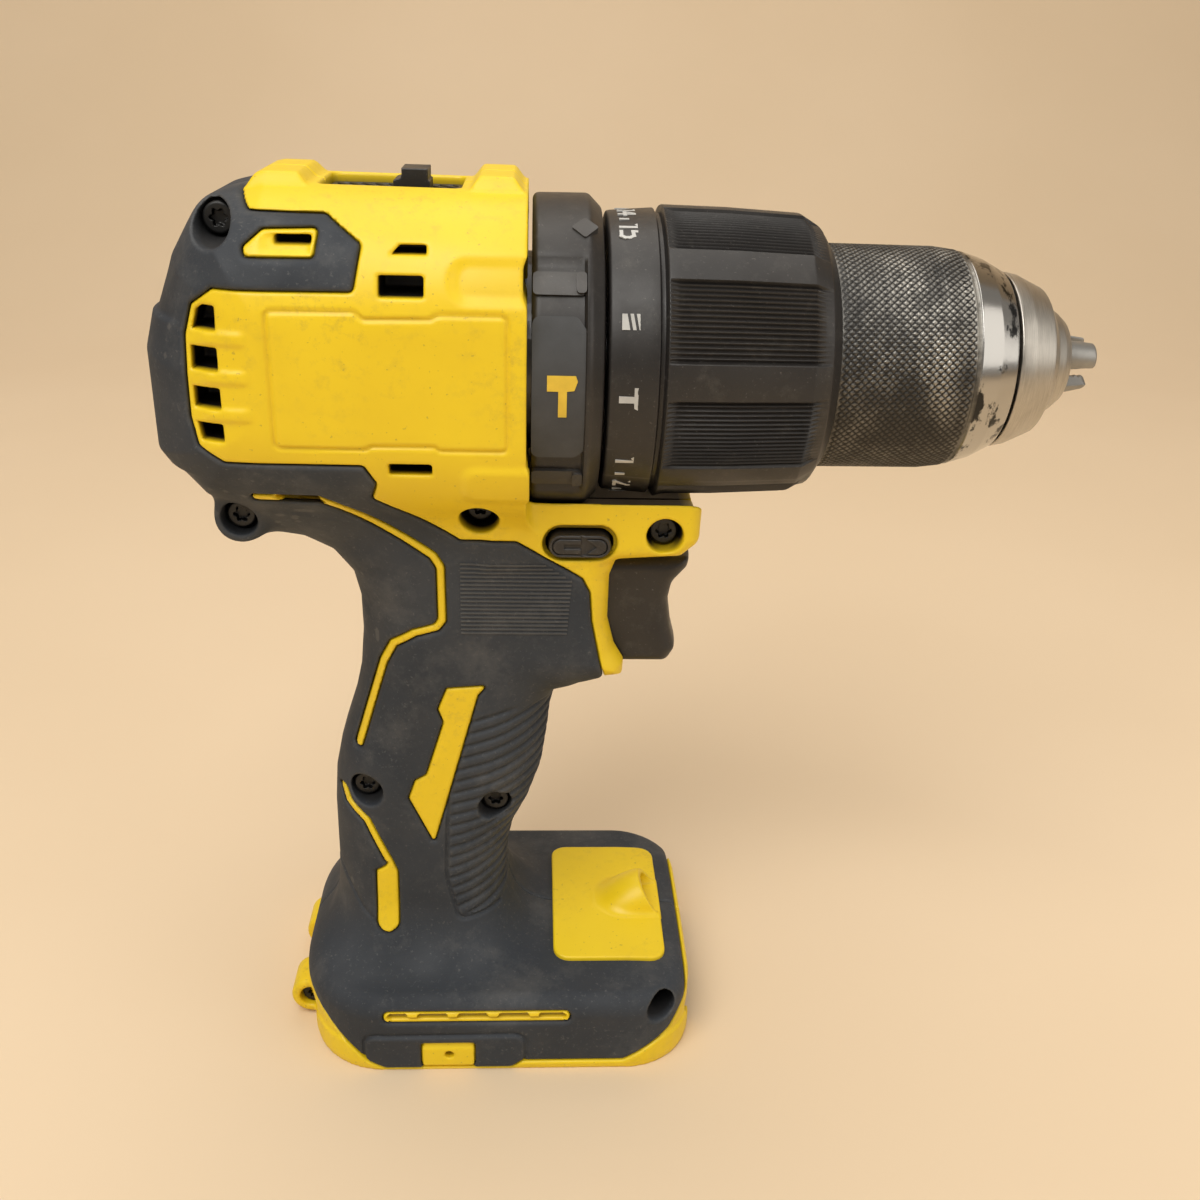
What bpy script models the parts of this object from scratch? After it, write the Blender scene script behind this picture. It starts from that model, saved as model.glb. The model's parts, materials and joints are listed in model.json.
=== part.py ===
"""Cordless hammer drill, standing on its battery foot with the battery taken off.

Lengths are in millimetres here and become metres when a mesh is made. Shapes are drawn in the
barrel's frame: x runs forward to the chuck, y to the tool's left, and z up from the barrel axis,
which is AXIS_HEIGHT above the surface that the foot stands on.
"""
import math

import bmesh
import bpy
from mathutils import Matrix, Vector
from mathutils.geometry import tessellate_polygon

MM = 0.001

# Driving dimensions
AXIS_HEIGHT = 151.6
REAR_X = -89.4
SHELL_FRONT_X = -20.4
JAW_TIP_X = 89.4
BARREL_HALF_WIDTH = 29.6
HANDLE_HALF_WIDTH = 16.8
FOOT_HALF_WIDTH = 33.4
GAP = 0.3
WALL = 4.2
GRIP_DEPTH = 1.5
SECTION_POINTS = 18
ROUND = 24

# Where things lie along the barrel
GEARCASE_FRONT_X = -7.2
COLLAR_REAR_X = -6.7
COLLAR_FRONT_X = 35.4
SLEEVE_REAR_X = 34.8
SLEEVE_FRONT_X = 69.4

# Reduction gears: sun, planets and ring of one module, the same in both stages
MODULE = 0.8889
SUN_TEETH = 12
PLANET_TEETH = 12
RING_TEETH = 36
PLANETS = 3
BACKLASH = 0.26
PLANET_ORBIT = MODULE * (SUN_TEETH + PLANET_TEETH) / 2
STAGE_1 = (-38.2, -30.6)
STAGE_2 = (-25.8, -18.8)

# Chuck jaws: they slide on lines that lean out from the axis
JAW_LEAN = math.radians(13.0)
JAW_RADIUS = 3.0
JAW_LENGTH = 36.0
JAW_TIP_OFFSET = 2.2
JAW_OPENING = 2.85
JAW_CLOSED_STEP = 2.55
JAW_ANGLES = (30.0, 150.0, 270.0)

# Screws that join the halves, as (x, z, y of the head's seat)
HOUSING_SCREWS = (
    (-73.9, 25.3, -9.0),
    (-74.8, -29.2, -9.0),
    (-29.5, -27.2, -9.0),
    (6.0, -31.6, -9.0),
    (-54.0, -90.5, -8.0),
    (-26.9, -94.4, -8.0),
    (9.4, -137.0, -20.0),
    (-68.4, -146.0, -10.0),
)
SCREW_HEAD_RADIUS = 2.8
SCREW_SHANK_RADIUS = 1.3
BOSS_RADIUS = 3.7

# Openings in the shell
SELECTOR_WINDOW = (-57.4, -32.6, 9.2)
BUTTON_CENTRE = (-10.4, -33.4)
BAY_CEILING = 11.5


# Materials ---------------------------------------------------------------------------------

FINISHES = {
    "yellow_shell": ((0.80, 0.52, 0.02), 0.48, 0.0),
    "grip_rubber": ((0.035, 0.040, 0.048), 0.80, 0.0),
    "black_plastic": ((0.016, 0.015, 0.014), 0.50, 0.0),
    "grey_plastic": ((0.09, 0.09, 0.09), 0.60, 0.0),
    "chuck_steel": ((0.42, 0.41, 0.39), 0.35, 1.0),
    "chuck_sleeve": ((0.10, 0.10, 0.10), 0.45, 1.0),
    "jaw_steel": ((0.33, 0.33, 0.32), 0.40, 1.0),
    "gear_steel": ((0.30, 0.30, 0.31), 0.35, 1.0),
    "bearing_steel": ((0.55, 0.55, 0.56), 0.20, 1.0),
    "screw_steel": ((0.03, 0.03, 0.03), 0.40, 1.0),
    "lamination_steel": ((0.25, 0.25, 0.26), 0.50, 1.0),
    "magnet": ((0.12, 0.12, 0.13), 0.40, 1.0),
    "copper": ((0.72, 0.30, 0.12), 0.35, 1.0),
    "circuit_board": ((0.02, 0.10, 0.05), 0.50, 0.0),
    "terminal_brass": ((0.70, 0.52, 0.20), 0.30, 1.0),
    "lens": ((0.90, 0.92, 0.95), 0.10, 0.0),
    "wire_insulation": ((0.25, 0.03, 0.02), 0.50, 0.0),
}


def finish_material(finish):
    """Return the finish's Principled material, made the first time it is asked for."""
    found = bpy.data.materials.get(finish)
    if found:
        return found
    colour, roughness, metallic = FINISHES[finish]
    made = bpy.data.materials.new(finish)
    made.use_nodes = True
    shader = made.node_tree.nodes["Principled BSDF"]
    shader.inputs["Base Color"].default_value = (*colour, 1.0)
    shader.inputs["Roughness"].default_value = roughness
    shader.inputs["Metallic"].default_value = metallic
    made.diffuse_color = (*colour, 1.0)
    return made


# Mesh helpers ------------------------------------------------------------------------------

def clear_scene():
    for item in list(bpy.data.objects):
        bpy.data.objects.remove(item, do_unlink=True)


def make_object(name, vertices, faces, finish=None, origin=(0, 0, 0), smooth=40.0):
    """Make one object from millimetre vertices; without a finish it is a hidden cutter."""
    mesh = bpy.data.meshes.new(name)
    local = [(Vector(v) - Vector(origin)) * MM for v in vertices]
    mesh.from_pydata(local, [], faces)
    edit = bmesh.new()
    edit.from_mesh(mesh)
    bmesh.ops.recalc_face_normals(edit, faces=edit.faces)
    edit.to_mesh(mesh)
    edit.free()
    made = bpy.data.objects.new(name, mesh)
    bpy.context.collection.objects.link(made)
    made.parent = bpy.data.objects["barrel_axis"]
    made.location = Vector(origin) * MM
    if finish is None:
        made.hide_render = True
        made.display_type = "WIRE"
    else:
        mesh.materials.append(finish_material(finish))
        mesh.shade_smooth()
        mesh.set_sharp_from_angle(angle=math.radians(smooth))
    return made


def boolean(target, other, operation="DIFFERENCE", solver="EXACT"):
    """Add a Boolean that cuts, joins or keeps the shared space of two objects.

    EXACT is the default. The body and its halves have long chains of cuts with nearly touching
    faces, which EXACT leaves open, so those steps ask for MANIFOLD.
    """
    step = target.modifiers.new(f"{operation.lower()}_{other.name}", "BOOLEAN")
    step.operation = operation
    step.object = other
    step.solver = solver
    return target


def loft(name, rings, finish=None, **options):
    """Skin a row of equal rings and close both ends."""
    count = len(rings[0])
    vertices = [point for ring in rings for point in ring]
    faces = [tuple(range(count)), tuple(range(len(vertices) - count, len(vertices)))]
    for row in range(len(rings) - 1):
        for i in range(count):
            j = (i + 1) % count
            low, high = row * count, (row + 1) * count
            faces.append((low + i, low + j, high + j, high + i))
    return make_object(name, vertices, faces, finish, **options)


def place(axis, u, v, along):
    """Turn a flat point and a distance into a point: axis X keeps (y, z), Y (x, z), Z (x, y)."""
    if axis == "X":
        return (along, u, v)
    if axis == "Y":
        return (u, along, v)
    return (u, v, along)


def prism_faces(loops, first=0):
    """Faces of an outline, with holes, between two levels of the same points."""
    points = [Vector((u, v, 0)) for loop in loops for u, v in loop]
    total = len(points)
    faces = []
    for a, b, c in tessellate_polygon([[Vector((u, v, 0)) for u, v in loop] for loop in loops]):
        faces.append((first + a, first + b, first + c))
        faces.append((first + total + a, first + total + c, first + total + b))
    start = first
    for loop in loops:
        for i in range(len(loop)):
            a, b = start + i, start + (i + 1) % len(loop)
            faces.append((a, b, b + total, a + total))
        start += len(loop)
    return faces


def prism(name, loops, axis, start, end, finish=None, **options):
    """Extrude an outline along an axis; the loops after the first are holes."""
    vertices = [place(axis, u, v, level) for level in (start, end) for loop in loops for u, v in loop]
    return make_object(name, vertices, prism_faces(loops), finish, **options)


def join_group(name, pieces, finish, **options):
    """Make one object from separate (vertices, faces) solids."""
    vertices, faces = [], []
    for piece_vertices, piece_faces in pieces:
        first = len(vertices)
        vertices.extend(piece_vertices)
        faces.extend(tuple(first + i for i in face) for face in piece_faces)
    return make_object(name, vertices, faces, finish, **options)


def turned_mesh(profile, segments=ROUND, axis="X", centre=(0, 0, 0)):
    """Revolve a closed (along, radius) outline; points on the axis become poles."""
    vertices, rows = [], []
    for along, radius in profile:
        steps = 1 if radius < 1e-6 else segments
        rows.append(range(len(vertices), len(vertices) + steps))
        for i in range(steps):
            turn = math.tau * i / segments
            point = place(axis, radius * math.cos(turn), radius * math.sin(turn), along)
            vertices.append(tuple(p + c for p, c in zip(point, centre)))
    faces = []
    for k, row in enumerate(rows):
        after = rows[(k + 1) % len(rows)]
        for i in range(segments):
            j = (i + 1) % segments
            corners = [row[i % len(row)], row[j % len(row)], after[j % len(after)], after[i % len(after)]]
            face = tuple(dict.fromkeys(corners))
            if len(face) > 2:
                faces.append(face)
    return vertices, faces


def turned(name, profile, finish=None, segments=ROUND, axis="X", centre=(0, 0, 0), **options):
    vertices, faces = turned_mesh(profile, segments, axis, centre)
    return make_object(name, vertices, faces, finish, **options)


def ring_profile(start, end, inner, outer):
    return [(start, inner), (end, inner), (end, outer), (start, outer)]


def rod_profile(start, end, radius):
    return [(start, 0), (end, 0), (end, radius), (start, radius)]


def rounded(corners, steps=4):
    """Outline through (u, v, radius) corners, each one replaced by an arc of its radius."""
    outline = []
    for k, (u, v, radius) in enumerate(corners):
        here = Vector((u, v))
        if radius <= 0:
            outline.append((u, v))
            continue
        before = (Vector(corners[k - 1][:2]) - here).normalized()
        after = (Vector(corners[(k + 1) % len(corners)][:2]) - here).normalized()
        half = before.angle(after) / 2
        middle = here + (before + after).normalized() * radius / math.sin(half)
        first = here + before * radius / math.tan(half) - middle
        last = here + after * radius / math.tan(half) - middle
        for i in range(steps + 1):
            outline.append(tuple(middle + first.slerp(last, i / steps).normalized() * radius))
    return outline


def shrunk(outline, step):
    """Move every side of an anticlockwise or clockwise outline inwards by one step."""
    count = len(outline)
    points = [Vector(p) for p in outline]
    area = sum(points[i - 1].cross(points[i]) for i in range(count))
    moved = []
    for i in range(count):
        before = (points[i] - points[i - 1]).normalized()
        after = (points[(i + 1) % count] - points[i]).normalized()
        inward = (before + after).orthogonal().normalized() * math.copysign(1.0, area)
        reach = step / max(inward.dot(before.orthogonal() * math.copysign(1.0, area)), 0.5)
        moved.append(tuple(points[i] + inward * reach))
    return moved


def box_outline(u0, u1, v0, v1, radius=0.0, steps=3):
    return rounded([(u0, v0, radius), (u1, v0, radius), (u1, v1, radius), (u0, v1, radius)], steps)


def box(name, low, high, finish=None, radius=0.0, axis="Z", **options):
    """A block between two corners, its edges along the axis rounded."""
    spans = {"X": (1, 2, 0), "Y": (0, 2, 1), "Z": (0, 1, 2)}[axis]
    u, v, w = spans
    outline = box_outline(low[u], high[u], low[v], high[v], radius)
    return prism(name, [outline], axis, low[w], high[w], finish, **options)


def oval(along, centre, half_u, half_v, power, axis):
    """A superellipse ring across an axis."""
    ring = []
    for i in range(SECTION_POINTS):
        turn = math.tau * (i + 0.5) / SECTION_POINTS
        c, s = math.cos(turn), math.sin(turn)
        u = centre[0] + half_u * math.copysign(abs(c) ** (2 / power), c)
        v = centre[1] + half_v * math.copysign(abs(s) ** (2 / power), s)
        ring.append(place(axis, u, v, along))
    return ring


# Body surfaces -----------------------------------------------------------------------------

# Barrel sections: (x, top, bottom, half width)
BARREL_SECTIONS = (
    (REAR_X, 3.0, -14.0, 14.0),
    (REAR_X + 2.6, 11.5, -18.5, 20.5),
    (REAR_X + 7.0, 21.5, -24.5, 25.5),
    (REAR_X + 13.0, 28.5, -28.0, 28.0),
    (REAR_X + 20.0, 31.0, -29.5, 29.2),
    (REAR_X + 30.0, 31.4, -30.5, BARREL_HALF_WIDTH),
    (SHELL_FRONT_X - 8.0, 31.4, -31.0, BARREL_HALF_WIDTH),
    (SHELL_FRONT_X, 30.0, -31.0, 30.0),
)
# Handle sections from the barrel down: (z, back, front, half width)
HANDLE_SECTIONS = (
    (-24.0, -76.0, -2.0, 15.0),
    (-34.0, -76.5, -2.0, 16.2),
    (-38.6, -67.0, -2.6, HANDLE_HALF_WIDTH),
    (-42.0, -58.4, -3.4, HANDLE_HALF_WIDTH),
    (-48.0, -55.0, -3.9, HANDLE_HALF_WIDTH),
    (-58.0, -54.3, -2.0, HANDLE_HALF_WIDTH),
    (-65.0, -55.0, -0.4, 16.4),
    (-71.0, -56.5, -12.8, 16.2),
    (-80.3, -59.3, -15.8, 16.4),
    (-94.0, -61.9, -18.2, 16.6),
    (-106.0, -62.2, -23.6, 17.2),
    (-122.0, -62.4, -24.4, 18.4),
    (-136.0, -64.5, -20.0, 23.0),
)
# Foot sections from the ground up: (height, back, front, half width)
FOOT_SECTIONS = (
    (0.0, -61.5, 11.0, FOOT_HALF_WIDTH - 1.6),
    (6.0, -67.2, 17.0, FOOT_HALF_WIDTH),
    (13.0, -67.2, 16.6, FOOT_HALF_WIDTH - 0.6),
    (16.8, -65.5, 14.0, 28.5),
    (19.4, -62.0, 8.5, 19.0),
    (20.4, -56.0, 1.0, 9.0),
)


def barrel(name, inset):
    span = SHELL_FRONT_X - REAR_X
    rings = []
    for x, top, bottom, half in BARREL_SECTIONS:
        along = SHELL_FRONT_X - (SHELL_FRONT_X - x) * (span - inset) / span
        middle, height = (top + bottom) / 2, (top - bottom) / 2
        rings.append(oval(along, (0.0, middle), half - inset, height - inset, 2.35, "X"))
    return loft(name, rings)


def handle(name, inset):
    rings = []
    for z, back, front, half in HANDLE_SECTIONS:
        middle, reach = (back + front) / 2, (front - back) / 2
        rings.append(oval(z, (middle, 0.0), reach - inset, half - inset, 2.5, "Z"))
    return loft(name, rings)


def foot(name, inset):
    rings = []
    for height, back, front, half in FOOT_SECTIONS:
        middle, reach = (back + front) / 2, (front - back) / 2
        level = max(height * (20.4 - inset) / 20.4, 0.0) - AXIS_HEIGHT
        rings.append(oval(level, (middle, 0.0), reach - inset, half - inset, 4.6, "Z"))
    return loft(name, rings)


def trigger_bracket(name, inset):
    """Block under the clutch that the trigger and the direction button sit in."""
    outline = rounded([
        (-36.0 + inset, -20.0, 0), (-36.0 + inset, -37.2 + inset, 0), (11.8 - inset, -37.2 + inset, 2.0),
        (13.8 - inset, -27.0 + inset, 1.0), (12.2 - inset, -22.6, 1.0), (9.0, -20.0, 0),
    ])
    half = 17.2 - inset
    rings = [[(u, y, v) for u, v in outline] for y in (-half, half)]
    return loft(name, rings)


def rear_ear(name, inset):
    """Rounded lug behind the handle's top that holds the lower rear screw."""
    return turned(name, rod_profile(-15.0 + inset, 15.0 - inset, 4.8 - inset), segments=16, axis="Y",
                  centre=(-74.8, 0.0, -29.2))


def whole_body(name, inset):
    """Outer surface of the two halves together, offset inwards by the inset."""
    body = barrel(name, inset)
    for shape in (handle, foot, trigger_bracket, rear_ear):
        boolean(body, shape(f"{name}_{shape.__name__}", inset), "UNION", solver="MANIFOLD")
    return body


# Side outline of the rubber: back cap, handle and foot, leaving the yellow shell round the motor
GRIP_OUTLINE = (
    (-95.0, 36.0, 0), (-71.4, 36.0, 0), (-69.6, 27.6, 1.0), (-54.5, 27.3, 1.0), (-48.6, 23.4, 1.0),
    (-49.6, 15.9, 1.0), (-73.2, 15.9, 4.0), (-78.2, 10.0, 3.0), (-78.2, -9.5, 3.0), (-73.6, -13.8, 2.0),
    (-49.0, -13.8, 1.0), (-47.2, -18.6, 0), (-48.7, -21.3, 0), (-33.3, -32.7, 1.0), (-23.6, -32.7, 1.0),
    (-9.7, -40.7, 2.0), (-7.4, -50.1, 1.0), (-5.6, -60.5, 1.0), (-0.4, -68.5, 0), (5.0, -90.0, 0),
    (30.0, -120.0, 0), (30.0, -AXIS_HEIGHT + 4.0, 0), (-80.0, -AXIS_HEIGHT + 4.0, 0), (-95.0, -60.0, 0),
)


def half_space(name, side, finish=None):
    """A block that holds everything on one side of the parting plane."""
    near, far = side * GAP / 2, side * 60.0
    return box(name, (-110.0, min(near, far), -170.0), (110.0, max(near, far), 60.0), finish)


# Housing -----------------------------------------------------------------------------------

def motor_ribs(name):
    """Rings left in the cavity that hold the motor, its rear bearing and the gearcase."""
    rings = [
        turned_mesh(ring_profile(-86.0, -78.9, 7.3, 40.0), 24),
        turned_mesh(ring_profile(-68.0, -65.0, 22.3, 40.0), 24),
        turned_mesh(ring_profile(-55.0, -52.4, 22.3, 40.0), 24),
        turned_mesh(ring_profile(-36.0, -28.0, 21.9, 40.0), 24),
    ]
    return join_group(name, rings, None)


def shell_cavity():
    """Space inside the halves, with the ribs and screw bosses left standing."""
    cavity = barrel("cavity", WALL)
    boolean(cavity, turned("cavity_mouth", rod_profile(-42.0, SHELL_FRONT_X + 4.0, 26.0)), "UNION")
    boolean(cavity, motor_ribs("motor_ribs"))
    rings = []
    for z, back, front, half in HANDLE_SECTIONS:
        middle, reach = (back + front) / 2, (front - back) / 2
        rings.append(oval(z, (middle, 0.0), reach - WALL, min(half, 17.0) - WALL, 2.5, "Z"))
    boolean(cavity, loft("cavity_handle", rings), "UNION", solver="MANIFOLD")
    bosses = []
    for x, z, _ in HOUSING_SCREWS:
        bosses.append(turned_mesh(rod_profile(-40.0, 40.0, BOSS_RADIUS), 10, "Y", (x, 0.0, z)))
    boolean(cavity, join_group("screw_bosses", bosses, None), solver="MANIFOLD")
    return cavity


def battery_bay():
    """Channel that the battery slides into from the front, between two inward rails."""
    floor = -AXIS_HEIGHT
    half, rail = FOOT_HALF_WIDTH - 6.4, 3.6
    section = [
        (-half + rail, floor - 5.0), (half - rail, floor - 5.0), (half - rail, floor + 4.4), (half, floor + 4.4),
        (half, floor + BAY_CEILING), (-half, floor + BAY_CEILING), (-half, floor + 4.4),
        (-half + rail, floor + 4.4),
    ]
    return prism("battery_bay", [section], "X", -60.0, 40.0)


def screw_holes():
    """Stepped holes: head recess, clearance through the right half, thread in the left one."""
    holes = []
    for x, z, seat in HOUSING_SCREWS:
        profile = [
            (-60.0, 0), (seat + 12.0, 0), (seat + 12.0, SCREW_SHANK_RADIUS + GAP), (seat, SCREW_SHANK_RADIUS + GAP),
            (seat, SCREW_HEAD_RADIUS + GAP), (-60.0, SCREW_HEAD_RADIUS + GAP),
        ]
        holes.append(turned_mesh(profile, 10, "Y", (x, 0.0, z)))
    return join_group("screw_holes", holes, None)


def side_vents():
    """Cooling slots, through both sides: four behind the label, and windows over the motor."""
    outlines = [box_outline(-76.0, -72.0, z0, z1) for z0, z1 in ((9.1, 13.1), (2.4, 6.3), (-4.1, -0.4),
                                                                      (-9.9, -6.7))]
    outlines.append([(-43.4, 21.8), (-37.5, 21.8), (-37.5, 23.1), (-41.9, 23.1)])
    outlines.append(box_outline(-45.4, -37.9, 15.5, 18.7))
    outlines.append(box_outline(-44.8, -37.2, -15.5, -13.4))
    pieces = []
    for outline in outlines:
        for y0, y1 in ((-45.0, -20.0), (20.0, 45.0)):
            vertices = [(u, y, v) for y in (y0, y1) for u, v in outline]
            pieces.append((vertices, prism_faces([outline])))
    return join_group("side_vents", pieces, None)


def housing_openings():
    """Every cut that both halves share."""
    x0, x1, half = SELECTOR_WINDOW
    window = box("selector_window", (x0, -half, 24.0), (x1, half, 45.0), radius=2.0)
    collar_room = turned("collar_room", [
        (SHELL_FRONT_X, 0), (60.0, 0), (60.0, 27.9), (GEARCASE_FRONT_X + GAP, 27.9), (GEARCASE_FRONT_X + GAP, 29.8),
        (SHELL_FRONT_X, 29.8),
    ])
    mouth = [
        (-15.0, -38.2), (20.0, -38.2), (20.0, -66.0), (2.0, -66.0), (-0.6, -64.3), (-15.0, -64.3),
    ]
    trigger_mouth = prism("trigger_mouth", [mouth], "Y", -9.6, 9.6)
    u, v = BUTTON_CENTRE
    button_hole = prism("button_hole", [box_outline(u - 6.6, u + 6.6, v - 2.9, v + 2.9, 2.6)], "Y", -30.0, 30.0)
    return [window, collar_room, trigger_mouth, button_hole, screw_holes(), side_vents(), battery_bay()]


def rear_lobes():
    """Two rounded lugs low on the foot's heel; a screw joins the halves through them."""
    lobes = [turned_mesh(rod_profile(y - 4.5, y + 4.5, 4.6), 16, "Y", (-68.4, 0.0, -146.0)) for y in (-11.0, 11.0)]
    return join_group("rear_lobes", lobes, None)


def top_ridges():
    """Raised rims before and behind the speed selector's window."""
    front = [(-32.0, 26.0), (-20.8, 26.0), (-20.8, 29.9), (-23.2, 33.4), (-27.7, 33.4), (-32.0, 31.4)]
    rear = [(-70.8, 26.0), (-58.2, 26.0), (-58.2, 31.4), (-61.0, 33.0), (-67.4, 33.0), (-69.6, 31.6)]
    pieces = []
    for outline in (front, rear):
        vertices = [(u, y, v) for y in (-12.5, 12.5) for u, v in outline]
        pieces.append((vertices, prism_faces([outline])))
    return join_group("top_ridges", pieces, None)


def build_housing():
    outer = whole_body("body_outer", 0.0)
    boolean(outer, rear_lobes(), "UNION")
    boolean(outer, top_ridges(), "UNION")
    rubber_bed = whole_body("rubber_bed", GRIP_DEPTH + GAP)
    rubber_back = whole_body("rubber_back", GRIP_DEPTH)
    outline = rounded(GRIP_OUTLINE, 2)
    recess = prism("rubber_recess", [outline], "Y", -50.0, 50.0)
    boolean(recess, rubber_bed, solver="MANIFOLD")
    openings = housing_openings()
    for opening in [recess, shell_cavity()] + openings:
        boolean(outer, opening, solver="MANIFOLD")
    skin = prism("rubber_skin", [shrunk(outline, GAP)], "Y", -50.0, 50.0)
    boolean(skin, whole_body("rubber_outer", 0.0), "INTERSECT", solver="MANIFOLD")
    for opening in [rubber_back] + openings:
        boolean(skin, opening, solver="MANIFOLD")
    for side, label in ((-1, "right"), (1, "left")):
        half = half_space(f"housing_{label}", side, "yellow_shell")
        boolean(half, outer, "INTERSECT", solver="MANIFOLD")
        grip = half_space(f"grip_{label}", side, "grip_rubber")
        boolean(grip, skin, "INTERSECT", solver="MANIFOLD")


# Screws and small parts of the housing ------------------------------------------------------

def build_housing_screws():
    for k, (x, z, seat) in enumerate(HOUSING_SCREWS):
        profile = [
            (seat - 2.4, 0), (seat + 11.6, 0), (seat + 11.6, SCREW_SHANK_RADIUS), (seat - GAP, SCREW_SHANK_RADIUS),
            (seat - GAP, SCREW_HEAD_RADIUS), (seat - 2.4, SCREW_HEAD_RADIUS),
        ]
        turned(f"housing_screw_{k + 1}", profile, "screw_steel", 10, "Y", (x, 0.0, z))


def build_foot_parts():
    """Work light, its board, and the block whose blades meet the battery."""
    floor = -AXIS_HEIGHT
    cover = prism("led_cover", [box_outline(-14.0, 11.0, -20.5, 20.5, 3.5)], "Z", floor + 8.0, floor + 40.0,
                  "yellow_shell")
    boolean(cover, foot("led_cover_outside", -1.0), "INTERSECT")
    hood_rings = []
    for along, rise, half in ((-3.0, -0.4, 5.2), (2.0, 2.0, 6.2), (7.0, 3.6, 5.6), (10.8, 1.8, 4.8)):
        hood_rings.append(oval(along, (0.0, floor + 18.0 + rise / 2), half, 4.6 + rise / 2, 2.4, "X"))
    boolean(cover, loft("led_hood", hood_rings), "UNION")
    boolean(cover, foot("led_cover_inside", -GAP))
    throat = turned("led_throat", rod_profile(3.6, 20.0, 2.2), segments=16, centre=(0.0, 0.0, floor + 22.9))
    boolean(cover, throat)
    turned("led_lens", rod_profile(3.9, 6.4, 1.9), "lens", 16, centre=(0.0, 0.0, floor + 22.9))
    box("control_module", (-48.0, -9.4, -114.0), (-35.0, 9.4, -75.0), "grey_plastic", 1.5)
    block = box("terminal_block", (-48.0, -14.0, floor + 3.2), (-20.0, 14.0, floor + BAY_CEILING - GAP),
                "black_plastic", 1.5)
    slots, blades = [], []
    strip = box("battery_terminals", (-18.9, -11.5, floor + 6.0), (-17.6, 11.5, floor + 8.6), "terminal_brass")
    for y in (-9.6, -3.2, 3.2, 9.6):
        outline = box_outline(-24.0, -8.0, y - 0.9, y + 0.9)
        levels = (floor + 4.6, floor + 10.0)
        slots.append(([(u, v, level) for level in levels for u, v in outline], prism_faces([outline])))
        outline = box_outline(-23.6, -10.0, y - 0.4, y + 0.4)
        levels = (floor + 5.2, floor + 9.4)
        blades.append(([(u, v, level) for level in levels for u, v in outline], prism_faces([outline])))
    boolean(block, join_group("terminal_slots", slots, None))
    boolean(strip, join_group("terminal_blades", blades, None), "UNION")


def tube_mesh(points, radius, sides=6):
    """Straight-sided tube along a smooth row of points."""
    vertices, faces = [], []
    for k, point in enumerate(points):
        here = Vector(point)
        ahead = (Vector(points[min(k + 1, len(points) - 1)]) - Vector(points[max(k - 1, 0)])).normalized()
        across = ahead.cross(Vector((0, 1, 0))).normalized()
        upward = ahead.cross(across)
        for i in range(sides):
            turn = math.tau * i / sides
            vertices.append(tuple(here + (across * math.cos(turn) + upward * math.sin(turn)) * radius))
    faces.append(tuple(range(sides)))
    faces.append(tuple(range(len(vertices) - sides, len(vertices))))
    for row in range(len(points) - 1):
        for i in range(sides):
            a, b = row * sides + i, row * sides + (i + 1) % sides
            faces.append((a, b, b + sides, a + sides))
    return vertices, faces


def build_electrics():
    """Trigger switch and the three leads that run up to the motor."""
    switch = box("switch_module", (-36.0, -8.6, -66.0), (-14.4, 8.6, -42.0), "black_plastic", 1.5)
    boolean(switch, turned("switch_bore", rod_profile(-27.0, 0.0, 2.6), segments=16, centre=(0, 0, -50.0)))
    leads = []
    for y in (-5.0, 0.0, 5.0):
        route = [(-41.0, y, -74.6), (-41.6, y, -60.0), (-43.0, y, -45.0), (-44.3, y, -34.0), (-44.3, y, -24.6)]
        leads.append(tube_mesh(route, 1.1))
    plug = box("motor_leads", (-43.2, -7.0, -74.7), (-38.8, 7.0, -71.6), "wire_insulation", 0.8)
    boolean(plug, join_group("motor_lead_wires", leads, None), "UNION")


# Motor -------------------------------------------------------------------------------------

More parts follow.
